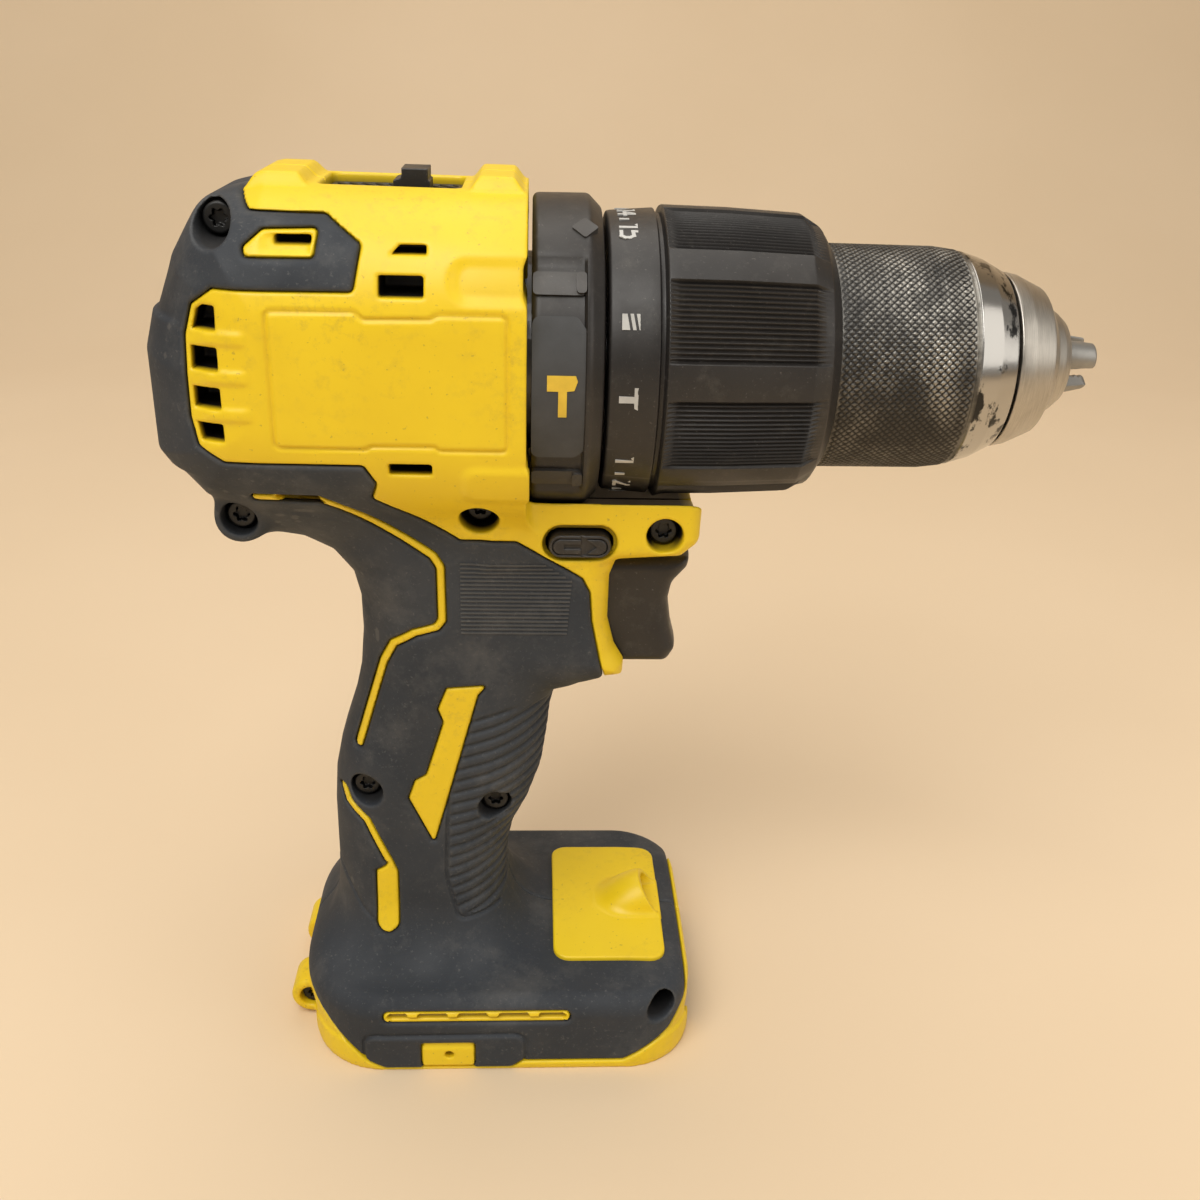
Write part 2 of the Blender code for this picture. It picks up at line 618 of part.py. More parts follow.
def build_motor():
    teeth, tooth_half, bore, slot_outer = 6, 4.0, 12.8, 18.5
    slots = []
    for k in range(teeth):
        middle = math.tau * k / teeth
        for radius, side, more in ((bore, 1, 0), (slot_outer, 1, 0), (slot_outer, -1, 1), (bore, -1, 1)):
            turn = middle + side * math.asin(tooth_half / radius) + more * math.tau / teeth
            slots.append((radius * math.cos(turn), radius * math.sin(turn)))
    rim = [(22.0 * math.cos(math.tau * i / 36), 22.0 * math.sin(math.tau * i / 36)) for i in range(36)]
    prism("motor_stator", [rim, slots], "X", -70.0, -47.5, "lamination_steel")
    coils = []
    for k in range(teeth):
        loops = [box_outline(-72.8, -44.7, -6.1, 6.1), box_outline(-70.3, -47.2, -4.3, 4.3)]
        turn = Matrix.Rotation(math.tau * k / teeth, 3, "X")
        vertices = [tuple(turn @ Vector((u, r, v))) for r in (13.8, 16.6) for loop in loops for u, v in loop]
        coils.append((vertices, prism_faces(loops)))
    bobbin = turned("stator_windings", ring_profile(-73.6, -71.0, 14.2, 16.2), "copper")
    boolean(bobbin, join_group("stator_coils", coils, None), "UNION")
    turned("sensor_board", ring_profile(-43.9, -42.6, 9.0, 20.0), "circuit_board")
    turned("motor_rear_bearing", ring_profile(-82.2, -79.1, 2.8, 7.0), "bearing_steel", 20)
    turned("motor_front_bearing", ring_profile(-42.2, -39.4, 2.8, 7.0), "bearing_steel", 20)
    turned("motor_plate", ring_profile(-42.2, -40.0, 7.3, 21.4), "gear_steel")
    turned("motor_shaft", rod_profile(-82.4, -30.6, 2.5), "gear_steel", 16)
    turned("rotor_core", ring_profile(-70.0, -47.0, 2.8, 8.6), "lamination_steel")
    turned("rotor_magnet", ring_profile(-69.6, -47.4, 8.9, 11.8), "magnet")
    fan = turned("cooling_fan", ring_profile(-76.2, -74.8, 2.8, 17.6), "black_plastic")
    blades = []
    for k in range(9):
        turn = Matrix.Rotation(math.tau * k / 9, 3, "X")
        outline = [(6.0, -0.6), (17.0, 2.6), (17.0, 3.8), (6.0, 0.6)]
        vertices = [tuple(turn @ Vector((x, u, v))) for x in (-78.4, -75.4) for u, v in outline]
        blades.append((vertices, prism_faces([outline])))
    boolean(fan, join_group("fan_blades", blades, None), "UNION")


# Gears -------------------------------------------------------------------------------------

def involute(angle):
    return math.tan(angle) - angle


def gear_outline(teeth, tip, root, phase=0.0, inside=False):
    """Straight-flanked teeth whose corners lie on a 20 degree involute; a tooth points at the phase."""
    pitch = MODULE * teeth / 2
    base = pitch * math.cos(math.radians(20.0))
    half_pitch = (math.pi * MODULE / 2 - BACKLASH) / 2 / pitch
    outline = []
    for k in range(teeth):
        middle = phase + math.tau * k / teeth
        for radius, side in ((root, -1), (tip, -1), (tip, 1), (root, 1)):
            flank = involute(math.radians(20.0)) - involute(math.acos(min(base / radius, 1.0)))
            half = half_pitch + (-flank if inside else flank)
            outline.append((radius * math.cos(middle + side * half), radius * math.sin(middle + side * half)))
    return outline


def circle(radius, count=ROUND, centre=(0.0, 0.0)):
    turns = [math.tau * i / count for i in range(count)]
    return [(centre[0] + radius * math.cos(t), centre[1] + radius * math.sin(t)) for t in turns]


def build_gear_stage(number, span):
    """Planets of one stage, inside a toothed ring that the gearcase holds."""
    ring_pitch = MODULE * RING_TEETH / 2
    loops = [circle(18.6, 36), gear_outline(RING_TEETH, ring_pitch - 0.72, ring_pitch + 1.05, inside=True)]
    prism(f"ring_gear_{number}", loops, "X", span[0] - 0.7, span[1] + 0.7, "gear_steel")
    pitch = MODULE * PLANET_TEETH / 2
    for k in range(PLANETS):
        turn = math.tau * k / PLANETS
        y, z = PLANET_ORBIT * math.cos(turn), PLANET_ORBIT * math.sin(turn)
        teeth = gear_outline(PLANET_TEETH, pitch + 0.78, pitch - 1.05, math.pi / PLANET_TEETH)
        loops = [[(y + u, z + v) for u, v in teeth], circle(2.2, 12, (y, z))]
        prism(f"planet_{number}{'abc'[k]}", loops, "X", *span, "gear_steel", origin=(0.0, y, z))


def build_carrier(name, disc, pins_from, finish="gear_steel"):
    """Disc with three pins that point back into the planets."""
    carrier = turned(name, rod_profile(disc[0], disc[1], 14.3), finish)
    pins = []
    for k in range(PLANETS):
        turn = math.tau * k / PLANETS
        centre = (0.0, PLANET_ORBIT * math.cos(turn), PLANET_ORBIT * math.sin(turn))
        pins.append(turned_mesh(rod_profile(pins_from, disc[0] + 0.5, 1.9), 12, "X", centre))
    return boolean(carrier, join_group(f"{name}_pins", pins, None), "UNION")


def sun_gear(name, start, end, finish=None, bore=0.0):
    pitch = MODULE * SUN_TEETH / 2
    loops = [gear_outline(SUN_TEETH, pitch + 0.78, pitch - 1.05)]
    if bore:
        loops.append(circle(bore, 12))
    return prism(name, loops, "X", start, end, finish)


def ratchet_ring(name, base, face, tip, inner, outer, finish):
    """Ring whose front or back face carries hammering teeth."""
    teeth = 12
    vertices, faces = [], []
    for i in range(teeth * 2):
        turn = math.tau * i / (teeth * 2)
        level = tip if i % 2 else face
        for x, r in ((base, inner), (base, outer), (level, outer), (level, inner)):
            vertices.append((x, r * math.cos(turn), r * math.sin(turn)))
    for i in range(teeth * 2):
        a, b = i * 4, (i + 1) % (teeth * 2) * 4
        for j in range(4):
            k = (j + 1) % 4
            faces.extend([(a + j, b + j, b + k), (a + j, b + k, a + k)])
    return make_object(name, vertices, faces, finish)


def build_gearbox():
    profile = [
        (-39.4, 18.9), (-13.6, 18.9), (-13.6, 11.4), (27.6, 11.4), (27.6, 13.0), (-9.6, 13.0), (-9.6, 22.0),
        (GEARCASE_FRONT_X, 22.0), (GEARCASE_FRONT_X, 28.2), (-8.6, 29.4), (SHELL_FRONT_X + GAP, 29.4),
        (SHELL_FRONT_X + GAP, 21.6), (-39.4, 21.6),
    ]
    turned("gearcase", profile, "black_plastic")
    build_gear_stage(1, STAGE_1)
    build_gear_stage(2, STAGE_2)
    sun_gear("motor_pinion", -38.2, -30.4, "gear_steel", bore=2.8)
    carrier = build_carrier("carrier_1", (-29.7, -27.2), -37.8)
    boolean(carrier, sun_gear("carrier_1_sun", -27.6, -18.7), "UNION")
    build_carrier("carrier_2", (-18.2, -14.8), -25.4)
    ratchet_ring("hammer_ratchet_fixed", -12.0, -7.6, -6.4, 7.0, 11.0, "gear_steel")
    ratchet_ring("hammer_ratchet_turning", -1.0, -5.2, -6.0, 6.4, 10.6, "gear_steel")
    turned("spindle_bearing", ring_profile(19.5, 26.0, 6.4, 11.0), "bearing_steel", 24)


# Clutch ------------------------------------------------------------------------------------

def build_clutch():
    profile = [
        (COLLAR_REAR_X, 23.4), (30.6, 23.4), (31.6, 21.4), (COLLAR_FRONT_X, 21.4), (COLLAR_FRONT_X, 22.4),
        (33.4, 24.7), (30.4, 26.3), (3.2, 26.8), (2.4, 25.9), (COLLAR_REAR_X, 25.6),
    ]
    turned("clutch_collar", profile, "black_plastic", 36)
    turned("clutch_nut", ring_profile(9.6, 15.6, 13.3, 22.9), "grey_plastic")
    turned("clutch_washer", ring_profile(-6.2, -4.4, 13.3, 19.8), "gear_steel")
    turns, per_turn, radius, wire = 4, 12, 16.6, 1.0
    steps = turns * per_turn
    route = []
    for i in range(steps + 1):
        turn = math.tau * i / per_turn
        route.append((-2.9 + 11.0 * i / steps, radius * math.cos(turn), radius * math.sin(turn)))
    vertices, faces = [], []
    for x, y, z in route:
        outward = Vector((0, y, z)).normalized()
        for i in range(6):
            t = math.tau * i / 6
            vertices.append(tuple(Vector((x + wire * math.sin(t), y, z)) + outward * wire * math.cos(t)))
    faces = [tuple(range(6)), tuple(range(len(vertices) - 6, len(vertices)))]
    for row in range(steps):
        for i in range(6):
            a, b = row * 6 + i, row * 6 + (i + 1) % 6
            faces.append((a, b, b + 6, a + 6))
    make_object("clutch_spring", vertices, faces, "gear_steel")


# Chuck -------------------------------------------------------------------------------------

def jaw_frame(angle):
    """Directions of one jaw: outwards from the axis, and along the jaw to its tip."""
    turn = math.radians(angle)
    outward = Vector((0.0, -math.cos(turn), math.sin(turn)))
    forward = Vector((math.cos(JAW_LEAN), 0, 0)) - outward * math.sin(JAW_LEAN)
    return outward, forward


def jaw_cylinder(angle, radius, behind, ahead, segments):
    """Leaning rod on a jaw's line, from behind to ahead of the tip's place at rest."""
    outward, forward = jaw_frame(angle)
    across = forward.cross(outward).normalized()
    upward = across.cross(forward)
    tip = Vector((JAW_TIP_X, 0, 0)) + outward * JAW_TIP_OFFSET
    vertices = []
    for along in (-behind, ahead):
        for i in range(segments):
            turn = math.tau * i / segments
            vertices.append(tuple(tip + forward * along + (upward * math.cos(turn) + across * math.sin(turn)) * radius))
    faces = [tuple(range(segments)), tuple(range(segments, 2 * segments))]
    faces += [(i, (i + 1) % segments, segments + (i + 1) % segments, segments + i) for i in range(segments)]
    return vertices, faces


def build_jaws():
    edge = (JAW_OPENING - JAW_CLOSED_STEP) * math.sqrt(3.0)
    wide = 9.0
    for k, angle in enumerate(JAW_ANGLES):
        vertices, faces = jaw_cylinder(angle, JAW_RADIUS, JAW_LENGTH, 6.0, 12)
        jaw = make_object(f"chuck_jaw_{k + 1}", vertices, faces, "jaw_steel")
        outward, _ = jaw_frame(angle)
        across = Vector((1, 0, 0)).cross(outward)
        spread = edge + (wide - JAW_OPENING) * math.sqrt(3.0)
        corners = [(JAW_OPENING, -edge), (JAW_OPENING, edge), (wide, spread), (25.0, spread), (25.0, -spread),
                   (wide, -spread)]
        section = [outward * r + across * t for r, t in corners]
        wedge = loft(f"jaw_wedge_{k + 1}", [[(x, p.y, p.z) for p in section] for x in (40.0, JAW_TIP_X)])
        boolean(jaw, wedge, "INTERSECT")


def build_chuck():
    shaft = [
        (-14.5, 0), (30.0, 0), (30.0, 2.3), (43.6, 2.3), (43.6, 6.0), (-14.5, 6.0),
    ]
    turned("spindle", shaft, "gear_steel", 24)
    body = turned("chuck_body", [
        (33.2, 6.3), (44.0, 6.3), (44.0, 2.3), (46.0, 2.3), (46.0, 6.8), (83.0, 6.8), (83.0, 8.4), (81.6, 9.9),
        (79.5, 10.7), (79.3, 12.3), (77.6, 14.4), (70.2, 16.5), (69.8, 16.2), (69.8, 14.6), (68.3, 14.6),
        (68.3, 10.4), (63.9, 10.4), (63.9, 17.2), (33.2, 17.2),
    ], "chuck_steel", 30)
    bores = [jaw_cylinder(angle, JAW_RADIUS + 0.25, 58.0, 6.0, 12) for angle in JAW_ANGLES]
    for k, (vertices, faces) in enumerate(bores):
        boolean(body, make_object(f"jaw_bore_{k + 1}", vertices, faces))
    turned("chuck_screw", [(31.0, 0), (50.0, 0), (50.0, 4.2), (46.3, 4.2), (46.3, 2.0), (31.0, 2.0)], "screw_steel",
           16)
    turned("chuck_nut", ring_profile(64.2, 68.0, 11.2, 15.6), "gear_steel", 30)
    turned("chuck_sleeve", [
        (SLEEVE_REAR_X, 17.5), (64.2, 17.5), (64.2, 15.9), (68.3, 15.9), (68.3, 14.9), (SLEEVE_FRONT_X, 14.9),
        (SLEEVE_FRONT_X, 16.7), (65.0, 18.6), (60.2, 19.85), (55.0, 20.5), (35.6, 20.5), (SLEEVE_REAR_X, 20.0),
    ], "chuck_sleeve", 30)
    build_jaws()


# Controls ----------------------------------------------------------------------------------

def build_controls():
    outline = rounded([
        (-6.6, -39.6, 0), (13.2, -39.6, 1.0), (12.6, -42.2, 1.5), (9.6, -45.6, 3.0), (8.9, -49.5, 4.0),
        (9.8, -56.0, 4.0), (11.0, -60.6, 1.5), (9.4, -63.6, 2.0), (-0.2, -63.4, 1.0), (-6.6, -58.0, 0),
    ])
    trigger = prism("trigger", [outline], "Y", -9.0, 9.0, "black_plastic")
    stem = turned("trigger_stem", rod_profile(-17.6, -6.0, 2.2), segments=12, centre=(0, 0, -50.0))
    boolean(trigger, stem, "UNION")
    u, v = BUTTON_CENTRE
    prism("direction_button", [box_outline(u - 6.0, u + 6.0, v - 2.4, v + 2.4, 2.2)], "Y", -18.0, 18.0,
          "black_plastic")
    x0, x1, half = SELECTOR_WINDOW
    frame = [box_outline(x0 + GAP, x1 - GAP, -half + GAP, half - GAP, 1.9), box_outline(-53.6, -37.4, -4.4, 4.4)]
    prism("selector_frame", frame, "Z", 27.8, 29.4, "black_plastic")
    knob = box("speed_selector", (-45.2, -4.0, 25.0), (-38.0, 4.0, 33.4), "black_plastic", 1.0)
    boolean(knob, box("selector_plate", (-46.4, -8.0, 24.6), (-36.4, 8.0, 26.6)), "UNION")
    arc = [math.radians(a) for a in range(10, 171, 10)]
    outline = [(r * math.cos(a), r * math.sin(a)) for r, path in ((24.9, arc), (23.0, arc[::-1])) for a in path]
    boolean(knob, prism("shift_fork", [outline], "X", -42.6, -40.6), "UNION")


# The build ---------------------------------------------------------------------------------

def build():
    clear_scene()
    axis = bpy.data.objects.new("barrel_axis", None)
    axis.location = (0.0, 0.0, AXIS_HEIGHT * MM)
    bpy.context.collection.objects.link(axis)
    build_housing()
    build_housing_screws()
    build_foot_parts()
    build_electrics()
    build_motor()
    build_gearbox()
    build_clutch()
    build_chuck()
    build_controls()


build()
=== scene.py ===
"""Looks of the cordless drill: moulded shell, rubber grip, clutch, knurled chuck and studio.

Shapes are drawn in millimetres in the barrel's frame, as in the CAD: x forward, y to the tool's
left, z up from the barrel axis. They become metres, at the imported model's axis, when meshed.
"""
import json
import math

import bmesh
import bpy
import numpy as np
import openvdb
from mathutils import Matrix, Vector
from mathutils.geometry import tessellate_polygon


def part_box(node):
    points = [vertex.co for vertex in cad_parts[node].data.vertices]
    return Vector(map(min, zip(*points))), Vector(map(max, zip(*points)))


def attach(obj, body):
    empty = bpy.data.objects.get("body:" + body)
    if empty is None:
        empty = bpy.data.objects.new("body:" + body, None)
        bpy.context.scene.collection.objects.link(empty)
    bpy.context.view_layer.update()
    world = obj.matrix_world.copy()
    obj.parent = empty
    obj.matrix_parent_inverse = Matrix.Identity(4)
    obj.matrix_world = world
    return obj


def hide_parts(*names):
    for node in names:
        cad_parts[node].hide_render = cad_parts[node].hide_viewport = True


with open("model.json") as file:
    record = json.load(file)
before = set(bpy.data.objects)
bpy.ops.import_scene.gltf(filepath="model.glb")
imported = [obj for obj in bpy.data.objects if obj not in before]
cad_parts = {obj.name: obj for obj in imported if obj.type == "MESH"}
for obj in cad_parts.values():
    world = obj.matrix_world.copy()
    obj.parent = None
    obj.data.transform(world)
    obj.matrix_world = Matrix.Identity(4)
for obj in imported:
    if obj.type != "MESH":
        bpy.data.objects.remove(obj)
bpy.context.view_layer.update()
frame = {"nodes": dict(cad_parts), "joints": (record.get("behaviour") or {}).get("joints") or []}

MM = 0.001
JOINTS = {joint["name"]: joint for joint in frame["joints"]}
AXIS = Vector(JOINTS["spindle_spin"]["pos_m"])
FLOOR = -AXIS.z / MM
VOXEL = 0.45
BLOCK = 8

# Places along the barrel, and half widths, in the barrel's millimetres
GEARCASE_FRONT = -6.9
SHELL_FRONT = -20.45
BARREL_HALF = 30.4
HANDLE_HALF = 16.9
FOOT_HALF = 33.4
FOOT_TOP = 20.2
EAR = (-74.8, -29.4)
BUTTON_X = -10.4
LOBE = (-69.0, FLOOR + 5.4)

# Screws whose pockets go through rubber, and the rubber's margin round a window
RUBBER_POCKETS = (0, 1, 4, 5, 6)
GRIP_MARGIN = 1.1


def barrel_box(name):
    """Corners of a CAD node's box, in the barrel's frame in millimetres."""
    low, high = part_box(name)
    return (np.array(low) - np.array(AXIS)) / MM, (np.array(high) - np.array(AXIS)) / MM


# Outlines and distance fields ----------------------------------------------------------------

def rounded(corners, steps=5):
    """Outline through (u, v, radius) corners, each one replaced by an arc of its radius."""
    outline = []
    for k, (u, v, radius) in enumerate(corners):
        here = Vector((u, v))
        if radius <= 0:
            outline.append((u, v))
            continue
        before = (Vector(corners[k - 1][:2]) - here).normalized()
        after = (Vector(corners[(k + 1) % len(corners)][:2]) - here).normalized()
        half = before.angle(after) / 2
        if half > math.radians(88.5):
            outline.append((u, v))
            continue
        middle = here + (before + after).normalized() * radius / math.sin(half)
        first = here + before * radius / math.tan(half) - middle
        last = here + after * radius / math.tan(half) - middle
        for i in range(steps + 1):
            outline.append(tuple(middle + first.slerp(last, i / steps).normalized() * radius))
    return outline


def even(points, radius):
    """The same corner radius at every point."""
    return rounded([(u, v, radius) for u, v in points])


def rectangle(u0, u1, v0, v1, radius=0.0):
    return rounded([(u0, v0, radius), (u1, v0, radius), (u1, v1, radius), (u0, v1, radius)])


class Field2D:
    """Signed distance to a closed outline, or distance to an open path less half its width."""

    STEP = 0.25
    MARGIN = 9.0

    def __init__(self, points, stroke=None):
        path = np.array(points, float)
        self.low = path.min(0) - self.MARGIN
        size = np.ceil((path.max(0) + self.MARGIN - self.low) / self.STEP).astype(int) + 1
        u = self.low[0] + self.STEP * np.arange(size[0])[:, None]
        v = self.low[1] + self.STEP * np.arange(size[1])[None, :]
        nearest = np.full(size, 1e9)
        inside = np.zeros(size, bool)
        ends = np.roll(path, -1, 0)
        if stroke is not None:
            path, ends = path[:-1], ends[:-1]
        for (u0, v0), (u1, v1) in zip(path, ends):
            du, dv = u1 - u0, v1 - v0
            along = np.clip(((u - u0) * du + (v - v0) * dv) / max(du * du + dv * dv, 1e-12), 0, 1)
            nearest = np.minimum(nearest, (u - u0 - along * du) ** 2 + (v - v0 - along * dv) ** 2)
            if stroke is None and v0 != v1:
                crosses = (v0 <= v) != (v1 <= v)
                inside ^= crosses & (u < u0 + (v - v0) / dv * du)
        distance = np.sqrt(nearest)
        if stroke is None:
            distance = np.where(inside, -distance, distance)
        else:
            distance = distance - stroke / 2
        self.grid = distance.astype(np.float32)

    def __call__(self, u, v):
        size = self.grid.shape
        a = (u - self.low[0]) / self.STEP
        b = (v - self.low[1]) / self.STEP
        ca, cb = np.clip(a, 0, size[0] - 1.001), np.clip(b, 0, size[1] - 1.001)
        i, j = ca.astype(np.int32), cb.astype(np.int32)
        s, t = ca - i, cb - j
        g = self.grid
        near = g[i, j] * (1 - s) + g[i + 1, j] * s
        far = g[i, j + 1] * (1 - s) + g[i + 1, j + 1] * s
        return near * (1 - t) + far * t + np.hypot(a - ca, b - cb) * self.STEP


def join(a, b, blend):
    """Smooth union of two distances."""
    h = np.maximum(blend - np.abs(a - b), 0) / blend
    return np.minimum(a, b) - h * h * blend / 4


def meet(a, b, blend):
    """Smooth shared space of two distances."""
    return -join(-a, -b, blend)


def rounded_meet(a, b, radius):
    """Shared space of two distances, with the edge between them rounded."""
    a, b = a + radius, b + radius
    return np.minimum(np.maximum(a, b), 0) + np.hypot(np.maximum(a, 0), np.maximum(b, 0)) - radius


def slab(side, across, half, radius):
    """Solid with a side outline, a half width, and edges rounded by the radius."""
    return rounded_meet(side, np.abs(across) - half, radius)


def stadium(u, v, straight, radius):
    """Long round-ended shape about the origin, its middles a straight length from it."""
    return np.hypot(np.maximum(np.abs(u) - straight, 0), v) - radius


def repeat(value, pitch, phase=0.5):
    """Distance to the nearest of evenly spaced lines."""
    return np.abs((value / pitch + phase) % 1.0 - 0.5) * pitch


def groove(distance, depth, half=0.55):
    """Depth of a fine groove that follows an outline."""
    return depth * ramp(half - np.abs(distance), 0.0, 0.4)


def ramp(value, start, end):
    """Smooth step from 0 at the start to 1 at the end."""
    t = np.clip((value - start) / (end - start), 0, 1)
    return t * t * (3 - 2 * t)


# The body's outlines -------------------------------------------------------------------------

BARREL = Field2D(rounded([
    (12, 30.2, 0), (-20.5, 30.9, 0), (-66, 31.3, 4), (-77, 28.6, 7), (-83.6, 19.6, 6), (-87.2, 10.2, 4),
    (-89.2, 3, 4), (-89.2, -15.6, 3), (-85.6, -21, 4), (-80.5, -25.6, 5), (-70, -28.6, 8),
    (-20.5, -31, 0), (12, -30.4, 0),
]))
HANDLE = Field2D(even([
    (-76, -18), (-2, -18), (-2, -37), (-3.8, -42), (-3.9, -51.5), (-2.4, -57.4), (-0.3, -61),
    (-0.4, -64.3), (-4.8, -64.9), (-9.5, -66.2), (-14, -68.8), (-15.4, -74.7), (-15.9, -80.3),
    (-17.1, -89.2), (-19.8, -97.3), (-23, -103.8), (-24.4, -110), (-24.6, -119), (-23.6, -130),
    (-22, -140), (-64.4, -140), (-62.8, -128), (-62.2, -112), (-62.1, -98.3), (-61.5, -90.3),
    (-60, -83.1), (-56.7, -72.9), (-55, -65.5), (-54.2, -57), (-54.3, -49), (-55.6, -43.4),
    (-59.3, -38.8), (-64.5, -36.2), (-72.5, -34.9), (-76.5, -31),
], 1.0))
BRACKET = Field2D(rounded([
    (-30, -18, 0), (10.6, -21.4, 2.5), (13.4, -25.2, 2), (13.2, -33.4, 3), (9.5, -36.6, 2),
    (-3, -37.4, 0), (-30, -40, 0),
]))
FOOT_PLAN = Field2D(rounded([
    (-67.6, -32.8, 17), (17, -32.8, 15), (17, 32.8, 15), (-67.6, 32.8, 17),
], 10))
GRIP = Field2D(even([
    (-95, 40), (-70.6, 40), (-70.4, 30.2), (-67.6, 27.5), (-54.5, 27.3), (-48.3, 23.2), (-49.5, 16.1),
    (-72.9, 15.9), (-77, 13), (-78.4, 8), (-78.6, -6), (-77.6, -11), (-73.2, -13.9), (-49.2, -13.9),
    (-47.2, -17.7), (-48.5, -21.3), (-33.3, -32.7), (-22.6, -32.7), (-9.7, -40.7), (-8.1, -44),
    (-7.6, -50.5), (-5.9, -58.6), (-4.8, -63), (-5, -72), (15.4, -100), (15.4, FLOOR + 13),
    (11.6, FLOOR + 8), (1.4, FLOOR + 2.2), (-54, FLOOR + 2.2), (-66.4, FLOOR + 12.6), (-95, FLOOR + 30),
], 0.9))
STRIPE = Field2D([
    (-69.4, -21.9), (-58.2, -22), (-56, -23.4), (-38.6, -36.2), (-37.2, -38.6), (-37.1, -50),
    (-38.2, -51.5), (-42.6, -52.8), (-46.9, -55.7), (-49.2, -60.4), (-55.2, -80.5),
], stroke=1.7)
STRIPE_LOW = Field2D([(-59.2, -92.4), (-58.2, -94.9), (-54.2, -97.9), (-50.0, -107.4)], stroke=1.7)
TAB = Field2D(rounded([
    (-52.7, -110.6, 1), (-50.4, -109, 0.5), (-49.4, -106.4, 0.4), (-47.9, -110.6, 1), (-48, -124.6, 2),
    (-50.4, -126.4, 2), (-52.9, -124.6, 2),
]))
BADGE = Field2D(even([
    (-36.6, -65.2), (-28.2, -64.5), (-30.2, -67), (-39.9, -103.4), (-45.1, -91.7), (-43.6, -87.2),
    (-41.2, -85.8), (-37.4, -73.2), (-38.5, -70.2),
], 0.5))
PILL = Field2D(rounded([
    (-67.4, 20.9, 0.8), (-67.8, 22.4, 0.8), (-64.6, 25.1, 0.8), (-55.4, 25.4, 0.8), (-56, 21, 0.8),
]))
PILL_SLOT = Field2D(rectangle(-62.6, -56.6, 22.9, 24.3, 0.3))
STRIPE_SLOT = Field2D(rounded([(-66.4, -21.4, 0), (-58.4, -21.4, 0), (-57.0, -22.9, 0), (-64.4, -22.7, 0)]))
WINDOWS = [
    Field2D([(-43.4, 21.8), (-37.5, 21.8), (-37.5, 23.3), (-41.9, 23.3)]),
    Field2D(rectangle(-45.4, -37.9, 15.3, 18.8, 0.4)),
    Field2D(rectangle(-44.8, -37.2, -15.6, -13.4, 0.4)),
] + [Field2D(rectangle(-77.6, -72.6, low, high, 0.3)) for low, high in (
    (9.1, 13.2), (2.4, 6.4), (-4.2, -0.4), (-10.0, -6.7))]
LABEL = Field2D(rounded([
    (-64, 12.9, 1), (-49.4, 13.1, 0.3), (-47.9, 11.9, 0.3), (-36.9, 12.1, 0.3), (-35.4, 12.8, 0.3),
    (-24, 12.8, 1), (-24, -10.7, 1), (-35.8, -10.7, 0.3), (-36.5, -10, 0.3), (-47.5, -10.1, 0.3),
    (-48.5, -10.7, 0.3), (-64, -10.6, 1),
]))
HOLLOW = Field2D(rectangle(-33.5, -12.0, 14.6, 21.4, 3.0))
LOW_BULGE = Field2D(rectangle(-32.0, -12.0, -21.5, -14.0, 2.5))
FOOT_SLOT = Field2D(rectangle(-50.6, -10.4, FLOOR + 13.2, FLOOR + 15.8, 1.2))
FOOT_SLOT_CUT = Field2D(rectangle(-49.7, -11.3, FLOOR + 13.8, FLOOR + 15.2, 0.6))
FOOT_SLOT_MIDDLE = FLOOR + 14.5
HOOK_PAD = Field2D(rounded([
    (-55, FLOOR + 3, 2), (-55, FLOOR + 9.6, 2.5), (-20, FLOOR + 10, 2.5), (-20, FLOOR + 3, 2),
    (-23, FLOOR + 0.6, 1), (-50.5, FLOOR + 0.6, 1),
]))
HOOK_INSERT = Field2D(rectangle(-42.6, -31.0, FLOOR + 1.1, FLOOR + 7.7, 0.8))
COLLAR_LINE = Field2D([(-78.0, -100.0), (-60.4, -114.0), (-56.0, -121.0), (-52.6, -124.0)], stroke=0.1)
GRIP_ZONE = Field2D(even([
    (-12, -69.5), (-33, -69.5), (-36.6, -84), (-37.4, -112), (-35, -123), (-20, -122), (-22, -104),
    (-14, -86),
], 2.0))
COVER_PLAN = Field2D(rectangle(-14.0, 11.2, -20.5, 20.5, 3.6))
TRIGGER_MOUTH = Field2D([
    (-30, -38.4), (24, -38.4), (24, -70), (3, -70), (0.4, -64.3), (-30, -64.3),
])
SELECTOR_WINDOW = Field2D(rectangle(-57.4, -32.6, -9.2, 9.2, 1.6))
SCREW_BOXES = [barrel_box(f"housing_screw_{k + 1}") for k in range(8)]
SCREW_SEATS = [((low + high) / 2, low[1] + 1.8) for low, high in SCREW_BOXES]


def body(x, y, z):
    """Outer surface of the whole moulded body, without its openings."""
    barrel = np.maximum(slab(BARREL(x, z), y, BARREL_HALF, 22.0), x - SHELL_FRONT)
    flare = 5.5 * ramp(-z, 118.0, 140.0)
    edge = 13.2 - 6.5 * ramp(x, -24.0, -8.0) * ramp(z, -72.0, -66.0)
    handle = slab(HANDLE(x, z) - flare * 0.6, y, HANDLE_HALF + flare, edge)
    shell = join(barrel, handle, 7.0)
    bracket = slab(BRACKET(x, z), y, 17.2, 3.2)
    shell = join(shell, bracket, 2.0)
    ear = np.hypot(x - EAR[0], z - EAR[1]) - 5.0
    shell = join(shell, slab(ear, y, 15.6, 1.2), 3.5)
    height = FOOT_TOP - 1.6 * (np.abs(y) / 30.0) ** 2.0 - 0.8 * ramp(np.abs(x + 25.0), 26.0, 44.0)
    foot = FOOT_PLAN(x, y) + 0.3 * ramp(FLOOR + 2.0 - z, 0.0, 2.0)
    foot = rounded_meet(foot, z - FLOOR - height, 4.0)
    shell = join(shell, foot, 9.0)
    return np.maximum(shell, FLOOR - 0.28 - z)


